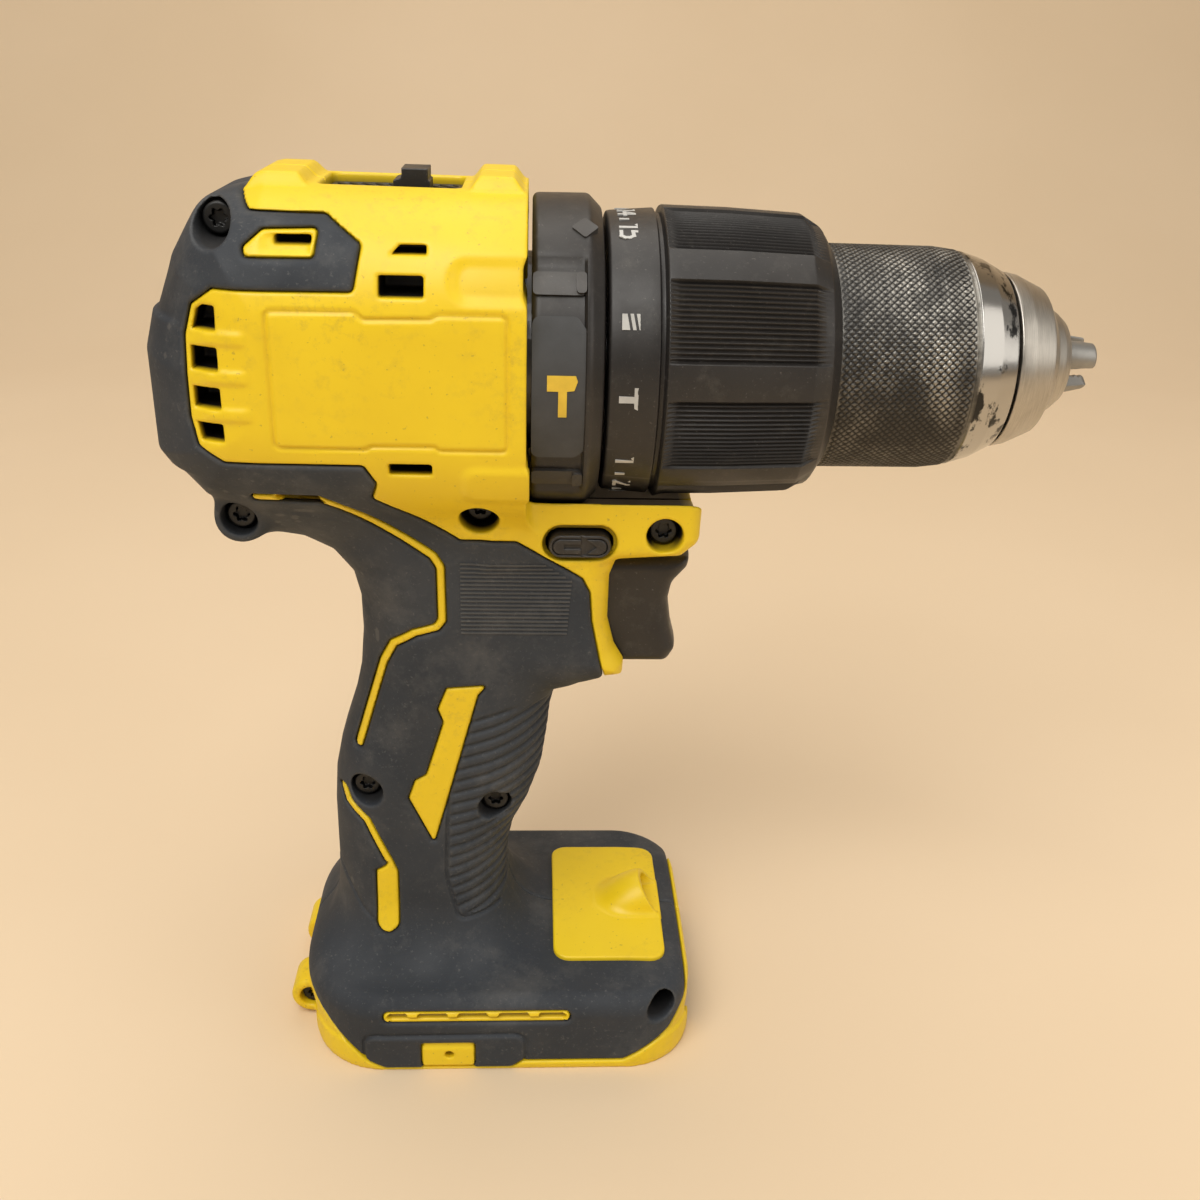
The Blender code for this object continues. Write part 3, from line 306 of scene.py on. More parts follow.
def openings(x, y, z):
    """Distance to the spaces cut from shell and rubber alike; negative is open space."""
    radius = np.hypot(y, z)
    collar = np.maximum(radius - 28.0, GEARCASE_FRONT - x)
    flange = np.maximum(radius - 30.1, SHELL_FRONT - x)
    cut = np.minimum(collar, flange)
    mouth = np.maximum(slab(TRIGGER_MOUTH(x, z), y, 9.7, 1.0), -14.0 - x)
    cut = np.minimum(cut, mouth)
    button = stadium(x - BUTTON_X, z + 33.4, 3.7, 2.9)
    recess = stadium(x - BUTTON_X, z + 33.0, 3.5, 3.7)
    button = np.minimum(button, np.maximum(recess, 15.4 - np.abs(y)))
    cut = np.minimum(cut, button)
    wall = FOOT_HALF - 6.4 - 5.0 * ramp(x, 8.0, 17.0)
    ceiling = 11.2 - 2.4 * ramp(x, -2.0, 2.0) * ramp(-y, 12.0, 15.0)
    bay = np.maximum(np.maximum(np.abs(y) - wall, z - FLOOR - ceiling), -60.0 - x)
    between_rails = np.maximum(np.abs(y) - wall + 3.6, np.maximum(z - FLOOR - 6.0, -60.0 - x))
    bay = np.minimum(np.maximum(bay, FLOOR + 4.4 - z), between_rails)
    cut = np.minimum(cut, bay)
    window = slab(SELECTOR_WINDOW(x, y), z - 40.0, 12.6, 0.4)
    return np.minimum(cut, window)


def screw_pockets(x, y, z, grow=0.0, which=range(7)):
    """Recesses over the screw heads on the right side."""
    cut = np.full(x.shape, 1e3)
    for k in which:
        centre, seat = SCREW_SEATS[k]
        wide = 3.15 + 0.07 * np.clip(seat - y, 0, 9) * (k < 6) + grow
        across = np.hypot(x - centre[0], z - centre[2]) - wide
        cut = np.minimum(cut, slab(across, y - seat + 30.0, 30.0, 0.5))
    return cut


def rubber_zone(x, z):
    """Side-view distance to the rubber: negative where rubber covers the shell."""
    zone = np.minimum(GRIP(x, z), HOOK_PAD(x, z))
    for piece in (STRIPE, STRIPE_LOW, TAB, BADGE, PILL, FOOT_SLOT, HOOK_INSERT):
        zone = np.maximum(zone, -piece(x, z))
    return zone


def shell_fields(p):
    """Distances to the yellow shell and to the rubber, at an array of points."""
    x, y, z = p[:, 0], p[:, 1], p[:, 2]
    surface = body(x, y, z)
    side = np.abs(y)
    zone = rubber_zone(x, z)
    # Raised rims before and behind the selector window
    rim_front = np.maximum(np.abs(x + 26.2) - 5.0, side - 12.0)
    rim_rear = np.maximum(np.abs(x + 64.2) - 5.6, side - 12.0)
    lift = 2.3 * ramp(-rim_front, -0.2, 2.4) + 1.9 * ramp(-rim_rear, -0.2, 2.4)
    lip = 0.5 * ramp(FLOOR + 7.0 - z, 0.0, 1.0) * (side > 12)
    yellow = surface + 0.3 - lift * ramp(z, 24.0, 29.0) - lip
    yellow += 1.4 * ramp(-zone, -0.35, 0.2)
    yellow += groove(LABEL(x, z), 0.45) * (side > 15)
    # Ribs running from the rear vents, a hollow over the front upper side, a box round the low window
    rib = 0.5 * ramp(1.7 - repeat(z - 1.6, 6.5), 0.0, 1.2) * ramp(-np.abs(x + 71.6) + 5.0, 0.0, 2.5)
    yellow -= rib * (np.abs(z - 1.6) < 10.0) * (side > 10)
    yellow += 0.7 * ramp(-HOLLOW(x, z), -1.0, 1.6) * (side > 10)
    yellow -= 0.6 * ramp(-LOW_BULGE(x, z), -0.8, 1.2) * (side > 10)
    yellow += 0.7 * ramp(-PILL(x, z), 0.3, 1.4) * ramp(x, -66.0, -62.5)
    yellow += 3.2 * ramp(-PILL_SLOT(x, z), -0.2, 0.2) * (side > 8)
    yellow += 2.2 * ramp(-STRIPE_SLOT(x, z), -0.2, 0.2) * (side > 8)
    tabs = repeat(x + 44.4, 8.7) + 9.0 * ramp(x, -15.5, -14.5)
    tooth = 0.9 * ramp(z - FOOT_SLOT_MIDDLE, -0.5, 0.3) * ramp(1.3 - tabs, 0, 0.3)
    low_slot = np.maximum(-FOOT_SLOT_CUT(x, z), -1.0) - tooth
    yellow += 1.8 * ramp(low_slot, -0.2, 0.2) * (side > 24)
    hole = np.hypot(x + 36.6, z - FLOOR - 4.4) - 1.0
    yellow = np.maximum(yellow, -np.maximum(hole, 28.0 - side))
    from_lobe = np.hypot(x - LOBE[0], z - LOBE[1])
    lobes = slab(from_lobe - 4.5, side - 11.0, 4.6, 1.0)
    lobes = np.maximum(lobes, FLOOR - z)
    yellow = join(yellow, lobes, 1.5)
    lobe_hole = np.maximum(from_lobe - 2.6, y + 13.2)
    yellow = np.maximum(yellow, -lobe_hole)
    limit = np.maximum(FLOOR + 0.02 - z, side - 33.3)
    yellow = np.maximum(yellow, limit)

    sleeve = screw_pockets(x, y, z, 1.3, RUBBER_POCKETS)
    inner = surface + 1.5 + 20.0 * ramp(-sleeve, -0.6, 0.0)
    skin = surface - 0.5 * ramp(-HOOK_PAD(x, z), -0.1, 0.5) * (side > 20)
    # The bumper on the rear stands out from the rubber above and below it
    bumper = ramp(13.8 - np.abs(z + 4.1), -0.4, 0.4)
    skin += 0.8 * (1 - bumper) * ramp(-x, 78.0, 84.0) * (z > -60)
    skin += groove(HOOK_PAD(x, z), 0.4) * (side > 20)
    ticks = np.maximum(np.abs(np.abs(x + 37.0) - 9.0) - 0.35, np.abs(z - FLOOR - 5.2) - 2.4)
    skin -= 0.3 * ramp(-ticks, -0.1, 0.2) * (side > 20)
    skin += groove(COLLAR_LINE(x, z), 0.3, 0.5) * (side > 4)
    rise = z - 0.28 * (x + 26.0) - 0.006 * (x + 34.0) ** 2
    wave = repeat(rise, 2.7, 0.0)
    furrow = ramp(0.75 - wave, 0.0, 0.6) * ramp(-GRIP_ZONE(x, z), 0.0, 1.5) * (z < -60)
    skin += 0.55 * furrow
    skin += groove(GRIP_ZONE(x, z), 0.6) * (x < -26.0) * (z < -80)
    skin = np.maximum(np.maximum(meet(skin, zone + 0.12, 0.9), -inner), limit)

    cut = np.minimum(openings(x, y, z), screw_pockets(x, y, z))
    for window in WINDOWS:
        cut = np.minimum(cut, np.maximum(np.maximum(window(x, z), GRIP_MARGIN - zone), 19.0 - side))
    seam = 0.28 * ramp(0.55 - side, 0.0, 0.45)
    yellow = meet(yellow + seam, -np.minimum(cut, sleeve), 0.5)
    skin = meet(skin + seam, -cut, 0.5)
    return yellow, skin, surface


# Meshing ---------------------------------------------------------------------------------------

def sample(fields, low, high, step):
    """Dense grids of several fields, sampled finely only near their surfaces."""
    size = BLOCK * step
    counts = np.ceil((np.array(high) - low) / size).astype(int)
    index = np.stack(np.meshgrid(*[np.arange(n) for n in counts], indexing="ij"), -1).reshape(-1, 3)
    values = fields(np.array(low) + (index + 0.5) * size)
    near = np.min([np.abs(v) for v in values], 0) < size * 0.9 + 0.9
    grids = []
    for value in values:
        coarse = np.where(value < 0, -1.0, 1.0).reshape(counts).astype(np.float32)
        grids.append(np.kron(coarse, np.ones((BLOCK,) * 3, np.float32)))
    offsets = np.stack(np.meshgrid(*[np.arange(BLOCK)] * 3, indexing="ij"), -1).reshape(-1, 3)
    for part in np.array_split(index[near], max(1, int(near.sum() // 3000))):
        cells = (part[:, None, :] * BLOCK + offsets[None]).reshape(-1, 3)
        found = fields(np.array(low) + cells * step)
        for grid, value in zip(grids, found):
            grid[cells[:, 0], cells[:, 1], cells[:, 2]] = value
    return grids


def polygonise(grid, low, step):
    """Quads on the zero level of a dense grid."""
    level = openvdb.FloatGrid(background=1.0)
    level.copyFromArray(np.clip(grid, -1.0, 1.0))
    points, quads = level.convertToQuads(isovalue=0.0)
    return np.array(points) * step + low, np.array(quads)


def settle(points, field, step, rounds=2):
    """Move points on to the exact zero level of a field, by no more than a voxel."""
    start = points.copy()
    for _ in range(rounds):
        value = field(points)
        slope = np.empty_like(points)
        for k in range(3):
            shift = np.zeros(3)
            shift[k] = 0.06
            slope[:, k] = (field(points + shift) - field(points - shift)) / 0.12
        norm = np.maximum((slope ** 2).sum(1), 0.25)
        points = points - slope * (value / norm)[:, None] * 0.9
        moved = points - start
        length = np.maximum(np.linalg.norm(moved, axis=1), 1e-9)
        points = start + moved * np.minimum(1, 0.8 * step / length)[:, None]
    return points


def to_world(points):
    return np.asarray(points) * MM + np.array(AXIS)


def mesh_piece(name, points, faces, material, body_name, slot_name, smooth=True):
    """Object from barrel-frame millimetres, riding on a body."""
    mesh = bpy.data.meshes.new(name)
    mesh.from_pydata(to_world(points).tolist(), [], [tuple(f) for f in faces])
    mesh.validate()
    mesh.materials.append(material)
    if smooth:
        mesh.shade_smooth()
    piece = bpy.data.objects.new(name, mesh)
    bpy.context.scene.collection.objects.link(piece)
    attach(piece, body_name)
    return piece


def face_outwards(piece):
    """Turn every face of a closed piece outwards."""
    edit = bmesh.new()
    edit.from_mesh(piece.data)
    bmesh.ops.recalc_face_normals(edit, faces=edit.faces)
    edit.to_mesh(piece.data)
    edit.free()


def float_attribute(piece, name, values):
    layer = piece.data.attributes.new(name, "FLOAT", "POINT")
    layer.data.foreach_set("value", np.asarray(values, np.float32))


# Materials -------------------------------------------------------------------------------------

def new_material(name, **sockets):
    """Principled material with constant sockets set, plus its node tree for additions."""
    material = bpy.data.materials.new(name)
    material.use_nodes = True
    tree = material.node_tree
    shader = tree.nodes["Principled BSDF"]
    for key, value in sockets.items():
        shader.inputs[key.replace("_", " ").title().replace("Ior", "IOR")].default_value = value
    return material, tree, shader


def add(tree, kind, inputs=None, **settings):
    node = tree.nodes.new(kind)
    for key, value in settings.items():
        setattr(node, key, value)
    for key, value in (inputs or {}).items():
        if isinstance(value, bpy.types.NodeSocket):
            tree.links.new(value, node.inputs[key])
        else:
            node.inputs[key].default_value = value
    return node


def noise(tree, scale, detail=3.0, rough=0.55, stretch=(1, 1, 1)):
    place = add(tree, "ShaderNodeTexCoord").outputs["Object"]
    place = add(tree, "ShaderNodeMapping", {"Vector": place, "Scale": stretch}).outputs[0]
    inputs = {"Vector": place, "Scale": scale, "Detail": detail, "Roughness": rough}
    return add(tree, "ShaderNodeTexNoise", inputs).outputs[0]


def remap(tree, value, low, high, to_low=0.0, to_high=1.0):
    node = add(tree, "ShaderNodeMapRange", {"Value": value, "From Min": low, "From Max": high,
                                            "To Min": to_low, "To Max": to_high})
    node.clamp = True
    return node.outputs[0]


def mix(tree, factor, a, b, blend="MIX"):
    node = add(tree, "ShaderNodeMix", data_type="RGBA", blend_type=blend)
    for socket, value in ((node.inputs[0], factor), (node.inputs[6], a), (node.inputs[7], b)):
        if isinstance(value, bpy.types.NodeSocket):
            tree.links.new(value, socket)
        else:
            socket.default_value = value if socket is node.inputs[0] else (*value, 1.0)[:4]
    return node.outputs[2]


def math_node(tree, operation, a, b=0.0):
    return add(tree, "ShaderNodeMath", {0: a, 1: b}, operation=operation).outputs[0]


def bump(tree, shader, height, strength, distance=0.0002):
    node = add(tree, "ShaderNodeBump", {"Height": height, "Strength": strength, "Distance": distance})
    tree.links.new(node.outputs[0], shader.inputs["Normal"])


def attribute(tree, name):
    return add(tree, "ShaderNodeAttribute", attribute_name=name).outputs["Fac"]


def stained(tree, tone, mask, amount, colour):
    """Tone with up to an amount of a colour, where the mask is high."""
    return mix(tree, math_node(tree, "MULTIPLY", mask, amount), tone, colour)


def set_surface(tree, shader, tone, roughness):
    tree.links.new(tone, shader.inputs["Base Color"])
    tree.links.new(roughness, shader.inputs["Roughness"])


# Pointiness mask: rubbed convex edges with the usual range, painted shade in creases when the range is
# reversed.
def worn_edges(tree, low=0.52, high=0.62):
    return remap(tree, add(tree, "ShaderNodeNewGeometry").outputs["Pointiness"], low, high)


def yellow_plastic():
    """Warm yellow moulding with handling grime and small scuffs, and painted shade in its creases and
    pockets.
    """
    material, tree, shader = new_material("yellow_moulding", roughness=0.42)
    tone = mix(tree, remap(tree, noise(tree, 38, 4), 0.35, 0.7), (0.86, 0.62, 0.010), (0.80, 0.56, 0.010))
    patches = remap(tree, noise(tree, 34, 5, 0.6), 0.45, 0.68)
    grime = remap(tree, noise(tree, 420, 8, 0.75), 0.50, 0.70)
    grime = math_node(tree, "MULTIPLY", grime, patches)
    tone = stained(tree, tone, grime, 0.45, (0.36, 0.24, 0.05))
    specks = remap(tree, noise(tree, 1100, 2, 0.6), 0.68, 0.74)
    tone = stained(tree, tone, specks, 0.4, (0.22, 0.15, 0.05))
    # Painted shade: the moulding darkened to brown in its hollows and creases, where pointiness is low.
    tone = stained(tree, tone, worn_edges(tree, 0.49, 0.40), 0.35, (0.42, 0.26, 0.04))
    # Painted shade: the moulding turns near black where it lies deep below the body's outer surface, in
    # vents, pockets and openings.
    pocket_shade = remap(tree, attribute(tree, "depth"), 0.9, 3.0)
    tone = mix(tree, pocket_shade, tone, (0.012, 0.010, 0.009))
    set_surface(tree, shader, tone, remap(tree, noise(tree, 60, 5), 0.3, 0.75, 0.36, 0.56))
    bump(tree, shader, noise(tree, 1500, 3), 0.14, 0.0001)
    return material


def rubber():
    """Dark blue-grey overmould, matt, with pale dust in patches and scuffed edges, and painted shade in its
    pockets.
    """
    material, tree, shader = new_material("grip_rubber", roughness=0.78)
    tone = mix(tree, remap(tree, noise(tree, 26, 4), 0.3, 0.7), (0.020, 0.025, 0.033), (0.034, 0.040, 0.049))
    dust = remap(tree, noise(tree, 60, 9, 0.75), 0.50, 0.74)
    tone = stained(tree, tone, dust, 0.34, (0.16, 0.155, 0.145))
    fine = remap(tree, noise(tree, 1300, 3, 0.7), 0.60, 0.76)
    tone = stained(tree, tone, fine, 0.30, (0.22, 0.215, 0.20))
    tone = stained(tree, tone, worn_edges(tree), 0.22, (0.20, 0.19, 0.17))
    # Painted shade: the rubber turns near black where it lies deep below the body's outer surface, in pockets
    # and openings.
    pocket_shade = remap(tree, attribute(tree, "depth"), 0.5, 2.4)
    tone = mix(tree, pocket_shade, tone, (0.010, 0.010, 0.011))
    set_surface(tree, shader, tone, remap(tree, noise(tree, 90, 5), 0.3, 0.75, 0.60, 0.88))
    bump(tree, shader, noise(tree, 2400, 3), 0.30, 0.00012)
    return material


def black_plastic():
    """Near-black moulding with fine dust and faintly rubbed edges."""
    material, tree, shader = new_material("black_moulding", roughness=0.42)
    tone = mix(tree, remap(tree, noise(tree, 45, 5), 0.3, 0.75), (0.012, 0.011, 0.011), (0.026, 0.023, 0.021))
    dust = remap(tree, noise(tree, 210, 8, 0.75), 0.54, 0.76)
    tone = stained(tree, tone, dust, 0.16, (0.20, 0.185, 0.16))
    fine = remap(tree, noise(tree, 1600, 3, 0.7), 0.64, 0.74)
    tone = stained(tree, tone, fine, 0.35, (0.22, 0.20, 0.18))
    tone = stained(tree, tone, worn_edges(tree), 0.14, (0.22, 0.21, 0.20))
    set_surface(tree, shader, tone, remap(tree, noise(tree, 120, 5), 0.3, 0.75, 0.34, 0.56))
    bump(tree, shader, noise(tree, 1800, 3), 0.18, 0.0001)
    return material


def brushed_metal(name, tone, rough, stretch=(40, 1, 1), metallic=1.0):
    """Turned metal: fine rings across the axis, with faint stains."""
    material, tree, shader = new_material(name, metallic=metallic, roughness=rough)
    rings = noise(tree, 260, 4, 0.6, stretch)
    dark = tuple(c * 0.72 for c in tone)
    colour = mix(tree, remap(tree, rings, 0.35, 0.65), dark, tone)
    stain = remap(tree, noise(tree, 90, 6, 0.7), 0.55, 0.8)
    colour = stained(tree, colour, stain, 0.35, tuple(c * 0.45 for c in tone))
    set_surface(tree, shader, colour, remap(tree, rings, 0.3, 0.7, rough - 0.05, rough + 0.12))
    bump(tree, shader, rings, 0.10, 0.00006)
    return material


def knurled_metal():
    """Blackened knurl rubbed to bare steel on its peaks, and a chrome band ahead with painted reflections
    streaked into its colour.
    """
    material, tree, shader = new_material("knurled_steel", metallic=1.0, roughness=0.4)
    chrome = attribute(tree, "chrome")
    peaks = attribute(tree, "peak")
    patches = remap(tree, noise(tree, 80, 7, 0.75), 0.44, 0.58)
    rubbed = math_node(tree, "MULTIPLY", peaks, math_node(tree, "ADD", 0.30, attribute(tree, "worn")))
    rubbed = math_node(tree, "MULTIPLY", rubbed, math_node(tree, "ADD", 0.35, patches))
    sleeve = mix(tree, remap(tree, rubbed, 0.0, 1.0), (0.045, 0.044, 0.043), (0.40, 0.385, 0.35))
    # Painted reflection: the chrome band's colour is streaked pale and near black, as reflections on it.
    reflection_streaks = remap(tree, noise(tree, 75, 6, 0.7, (1.6, 1.0, 1.0)), 0.53, 0.57)
    plate = mix(tree, reflection_streaks, (0.46, 0.45, 0.43), (0.04, 0.04, 0.04))
    tone = mix(tree, chrome, sleeve, plate)
    tree.links.new(tone, shader.inputs["Base Color"])
    rough = math_node(tree, "MULTIPLY", chrome, -0.28)
    tree.links.new(math_node(tree, "ADD", rough, 0.46), shader.inputs["Roughness"])
    bump(tree, shader, noise(tree, 700, 4), 0.12, 0.00008)
    return material


def plain(name, tone, rough, metallic=0.0):
    """Single finish with a little unevenness."""
    material, tree, shader = new_material(name, metallic=metallic, roughness=rough)
    spots = noise(tree, 120, 6, 0.65)
    colour = mix(tree, remap(tree, spots, 0.35, 0.75), tone, tuple(c * 0.7 for c in tone))
    set_surface(tree, shader, colour, remap(tree, spots, 0.3, 0.7, rough - 0.05, rough + 0.1))
    return material


# Body ------------------------------------------------------------------------------------------

def build_shell(yellow, dark):
    """Both housing halves and both rubber skins, from one sampling of the body."""
    low = np.array((-92.0, -36.0, FLOOR - 2.0))
    high = np.array((20.0, 36.0, 37.0))
    grids = sample(lambda p: shell_fields(p)[:2], low, high, VOXEL)
    levels = low[1] + VOXEL * np.arange(grids[0].shape[1])
    for which, kind, material, slot_name in (
            (0, "housing", yellow, "yellow_shell"), (1, "grip", dark, "grip_rubber")):
        for side, label in ((-1, "right"), (1, "left")):
            part = np.maximum(grids[which], (0.04 - side * levels)[None, :, None])
            points, quads = polygonise(part, low, VOXEL)

            def half(p, which=which, side=side):
                return np.maximum(shell_fields(p)[which], 0.04 - side * p[:, 1])

            points = settle(points, half, VOXEL)
            piece = mesh_piece(f"{kind}_{label}_skin", points, quads, material, "housing", slot_name)
            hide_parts(f"{kind}_{label}")
            # Depth below the body's outer surface, from which the materials paint shade in pockets.
            float_attribute(piece, "depth", -shell_fields(points)[2])


# Turned and small pieces -------------------------------------------------------------------------

def grid_faces(rows, columns, closed=True):
    """Quads of a sheet of rows and columns; closed joins the last column to the first."""
    faces = []
    for i in range(rows - 1):
        for j in range(columns if closed else columns - 1):
            k = (j + 1) % columns
            faces.append((i * columns + j, i * columns + k, (i + 1) * columns + k, (i + 1) * columns + j))
    return faces


FACE_RADIUS = 9.0


def fine_profile(points, step):
    """Closed (x, r) profile with corners rounded and long runs divided to the step."""
    outline = rounded(points, 4)
    result = []
    for k, (x0, r0) in enumerate(outline):
        x1, r1 = outline[(k + 1) % len(outline)]
        parts = max(1, int(math.hypot(x1 - x0, r1 - r0) / (step if min(r0, r1) > FACE_RADIUS else 4.0)))
        result += [(x0 + (x1 - x0) * i / parts, r0 + (r1 - r0) * i / parts) for i in range(parts)]
    return np.array(result)


def turned(name, points, material, body_name, slot_name, columns=192, step=2.0, shape=None, smooth=40):
    """Ring about the barrel axis; shape(x, r, angle) may lift or sink each point."""
    profile = fine_profile(points, step)
    angle = np.linspace(0, 2 * math.pi, columns, endpoint=False)
    x = np.repeat(profile[:, 0], columns)
    r = np.repeat(profile[:, 1], columns)
    a = np.tile(angle, len(profile))
    if shape is not None:
        r = r + shape(x, r, a)
    points3 = np.stack([x, -r * np.cos(a), r * np.sin(a)], 1)
    faces = grid_faces(len(profile), columns)
    last = (len(profile) - 1) * columns
    faces += [(last + j, last + (j + 1) % columns, (j + 1) % columns, j) for j in range(columns)]
    piece = mesh_piece(name, points3, faces, material, body_name, slot_name)
    piece.data.set_sharp_from_angle(angle=math.radians(smooth))
    return piece


def solid(name, field, low, high, material, body_name, slot_name, step=0.3):
    """Mesh of a distance field over a box in the barrel's frame."""
    step = step
    low, high = np.array(low, float) - 2 * step, np.array(high, float) + 2 * step
    grid = sample(lambda p: (field(p),), low, high, step)[0]
    points, quads = polygonise(grid, low, step)
    points = settle(points, field, step)
    return mesh_piece(name, points, quads, material, body_name, slot_name)


def cylinder_place(x, angle, radius):
    """Point at an angle round the barrel axis, measured from the near side towards the top."""
    return np.stack([x, -radius * np.cos(angle), radius * np.sin(angle)], -1)


def wrapped(name, shapes, radius, lift, material, body_name, slot_name):
    """Flat outlines (x, arc length) bent round the barrel at a radius, as thin raised marks."""
    points, faces = [], []
    for outline, centre_x, centre_angle in shapes:
        flat = []
        for k, (u, v) in enumerate(outline):
            u1, v1 = outline[(k + 1) % len(outline)]
            parts = max(1, int(math.hypot(u1 - u, v1 - v) / 0.8))
            flat += [(u + (u1 - u) * i / parts, v + (v1 - v) * i / parts) for i in range(parts)]
        flat = np.array(flat)
        triangles = tessellate_polygon([[Vector((u, v, 0)) for u, v in flat]])
        base = len(points)
        for r in (radius - 0.25, radius + lift):
            bent = centre_angle + flat[:, 1] / radius
            points += cylinder_place(centre_x + flat[:, 0], bent, np.full(len(flat), r)).tolist()
        n = len(flat)
        faces += [tuple(base + n + i for i in t) for t in triangles]
        faces += [tuple(base + i for i in reversed(t)) for t in triangles]
        faces += [(base + i, base + (i + 1) % n, base + n + (i + 1) % n, base + n + i) for i in range(n)]
    piece = mesh_piece(name, np.array(points), faces, material, body_name, slot_name, smooth=False)
    face_outwards(piece)
    return piece


# Gearcase and clutch ---------------------------------------------------------------------------

DIGITS = {
    "0": [[(-1, -2), (1, -2), (1, 2), (-1, 2), (-1, -2)]],
    "1": [[(-0.7, 1.2), (0.2, 2), (0.2, -2)]],
    "2": [[(-1, 1.2), (-0.5, 2), (0.6, 2), (1, 1.3), (1, 0.6), (-1, -2), (1.1, -2)]],
    "3": [[(-1, 2), (1, 2), (0, 0.4), (0.7, 0.2), (1, -0.6), (0.7, -1.8), (0, -2), (-1, -1.6)]],
    "4": [[(0.5, -2), (0.5, 2), (-1.1, -0.9), (1.2, -0.9)]],
    "5": [[(1, 2), (-0.9, 2), (-1, 0.3), (0.5, 0.4), (1, -0.4), (1, -1.3), (0.5, -2), (-1, -2)]],
    "6": [[(0.8, 2), (-0.6, 0.6), (-1, -0.6), (-0.7, -1.7), (0, -2), (0.8, -1.7), (1, -0.8), (0.6, 0),
           (-0.8, 0)]],
    "7": [[(-1, 2), (1, 2), (-0.3, -2)]],
    "8": [[(0, 0.2), (-0.9, 0.9), (-0.7, 1.8), (0, 2), (0.7, 1.8), (0.9, 0.9), (0, 0.2), (-1, -0.7),
           (-0.8, -1.8), (0, -2), (0.8, -1.8), (1, -0.7), (0, 0.2)]],
    "9": [[(-0.8, -2), (0.6, -0.6), (1, 0.6), (0.7, 1.7), (0, 2), (-0.8, 1.7), (-1, 0.8), (-0.6, 0),
           (0.8, 0)]],
}


def stroke_outlines(path, width):
    """Each run of a path as a box outline that reaches half a width past its ends."""
    boxes = []
    for a, b in zip(path, path[1:]):
        start, end = Vector(a), Vector(b)
        along = (end - start).normalized() * width / 2
        across = Vector((-along.y, along.x))
        start, end = start - along, end + along
        boxes.append([tuple(p) for p in (start - across, end - across, end + across, start + across)])
    return boxes


def number_shapes(text, x, angle, size=0.85):
    """Number written along the ring, so that it reads with the chuck pointing up."""
    shapes = []
    for k, digit in enumerate(text):
        offset = (k - (len(text) - 1) / 2) * 2.7 * size
        for path in DIGITS[digit]:
            for outline in stroke_outlines(path, 0.72):
                # A digit's up is +x (towards the chuck); its right is down the near side
                turned_outline = [(v * size, -(u * size + offset)) for u, v in outline]
                shapes.append((turned_outline, x, math.radians(angle)))
    return shapes


HAMMER = [
    (-2.3, 2.2), (2, 2.2), (2.3, 1.6), (1.8, 0.6), (0.7, 0.5), (0.7, -2.4), (-0.6, -2.4), (-0.6, 0.5),
    (-2.3, 0.5),
]
DRILL = [
    [(-1.4, -2.0), (1.4, -2.0), (1.4, -0.6), (-1.4, -1.1)],
    [(-1.4, -0.6), (1.4, -0.1), (1.4, 0.5), (-1.4, 0.0)],
    [(-1.4, 0.5), (1.4, 1.0), (1.4, 1.6), (-1.4, 1.1)],
    [(-1.4, 1.6), (0.6, 2.0), (-1.0, 2.3)],
]


def build_gearcase(black, grey, mark):
    """Ring ahead of the shell, with its side pad, bars, pegs and the clutch's pointer."""
    def shape(x, r, a):
        """Two raised bands with a hollow between them along the near and far sides."""
        outer = r > 27.5
        away = np.minimum(np.abs(a), 2 * math.pi - np.abs(a))
        band = ramp(math.radians(48) - np.minimum(away, math.pi - away), 0, 0.05)
        return np.where(outer, -0.9 * band * ramp(-10.4 - x, 0, 0.6), 0.0)

    case = turned("gearcase_ring", [
        (-20, 24, 0), (-20, 29.1, 1.2), (-9.8, 29.2, 1.5), (-7.4, 26.8, 0.6), (-7, 24, 0),
    ], black, "housing", "black_plastic", step=0.5, shape=shape)
    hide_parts("gearcase")

    def place(outline, x, angle, radius, lift, name, material, slot_name):
        """One outline raised from the ring at an angle in degrees."""
        shapes = [(outline, x, math.radians(angle))]
        return wrapped(name, shapes, radius, lift, material, "housing", slot_name)

    pad = even([(-5.2, -12.8), (2.6, -12.8), (5.2, -10.0), (5.2, 9.0), (2.6, 12.8), (-5.2, 12.8)], 1.5)
    place(pad, -14.7, -0.5, 28.3, 0.5, "mode_pad", grey, "grey_plastic")
    for k, angle in enumerate((37, -38)):
        bar = rectangle(-5.4, 3.6, -2.1, 2.1, 0.8)
        place(bar, -14.4, angle, 28.3, 0.55, f"gearcase_bar_{k + 1}", black, "black_plastic")
        peg = rectangle(-0.9, 0.9, -1.9, 1.9, 0.7)
        place(peg, -11.5, angle, 28.6, 0.8, f"gearcase_peg_{k + 1}", black, "black_plastic")
    hammer = [(u * 1.15, v * 1.6) for u, v in HAMMER]
    place(hammer, -14.6, -1.5, 28.75, 0.2, "mode_hammer", mark, "yellow_shell")
    diamond = rounded([(-2.4, 0, 0.4), (0, -2.6, 0.4), (2.4, 0, 0.4), (0, 2.6, 0.4)])
    place(diamond, -10.8, 60.0, 28.6, 0.85, "clutch_pointer", black, "black_plastic")


# Angles of the marks round the ring in degrees, and the ribs in a full turn of its grip
DRILL_ANGLE = 25.0
HAMMER_ANGLE = -4.0
FIRST_NUMBER = -33.0
NUMBER_STEP = 18.57
GRIP_RIBS = 182


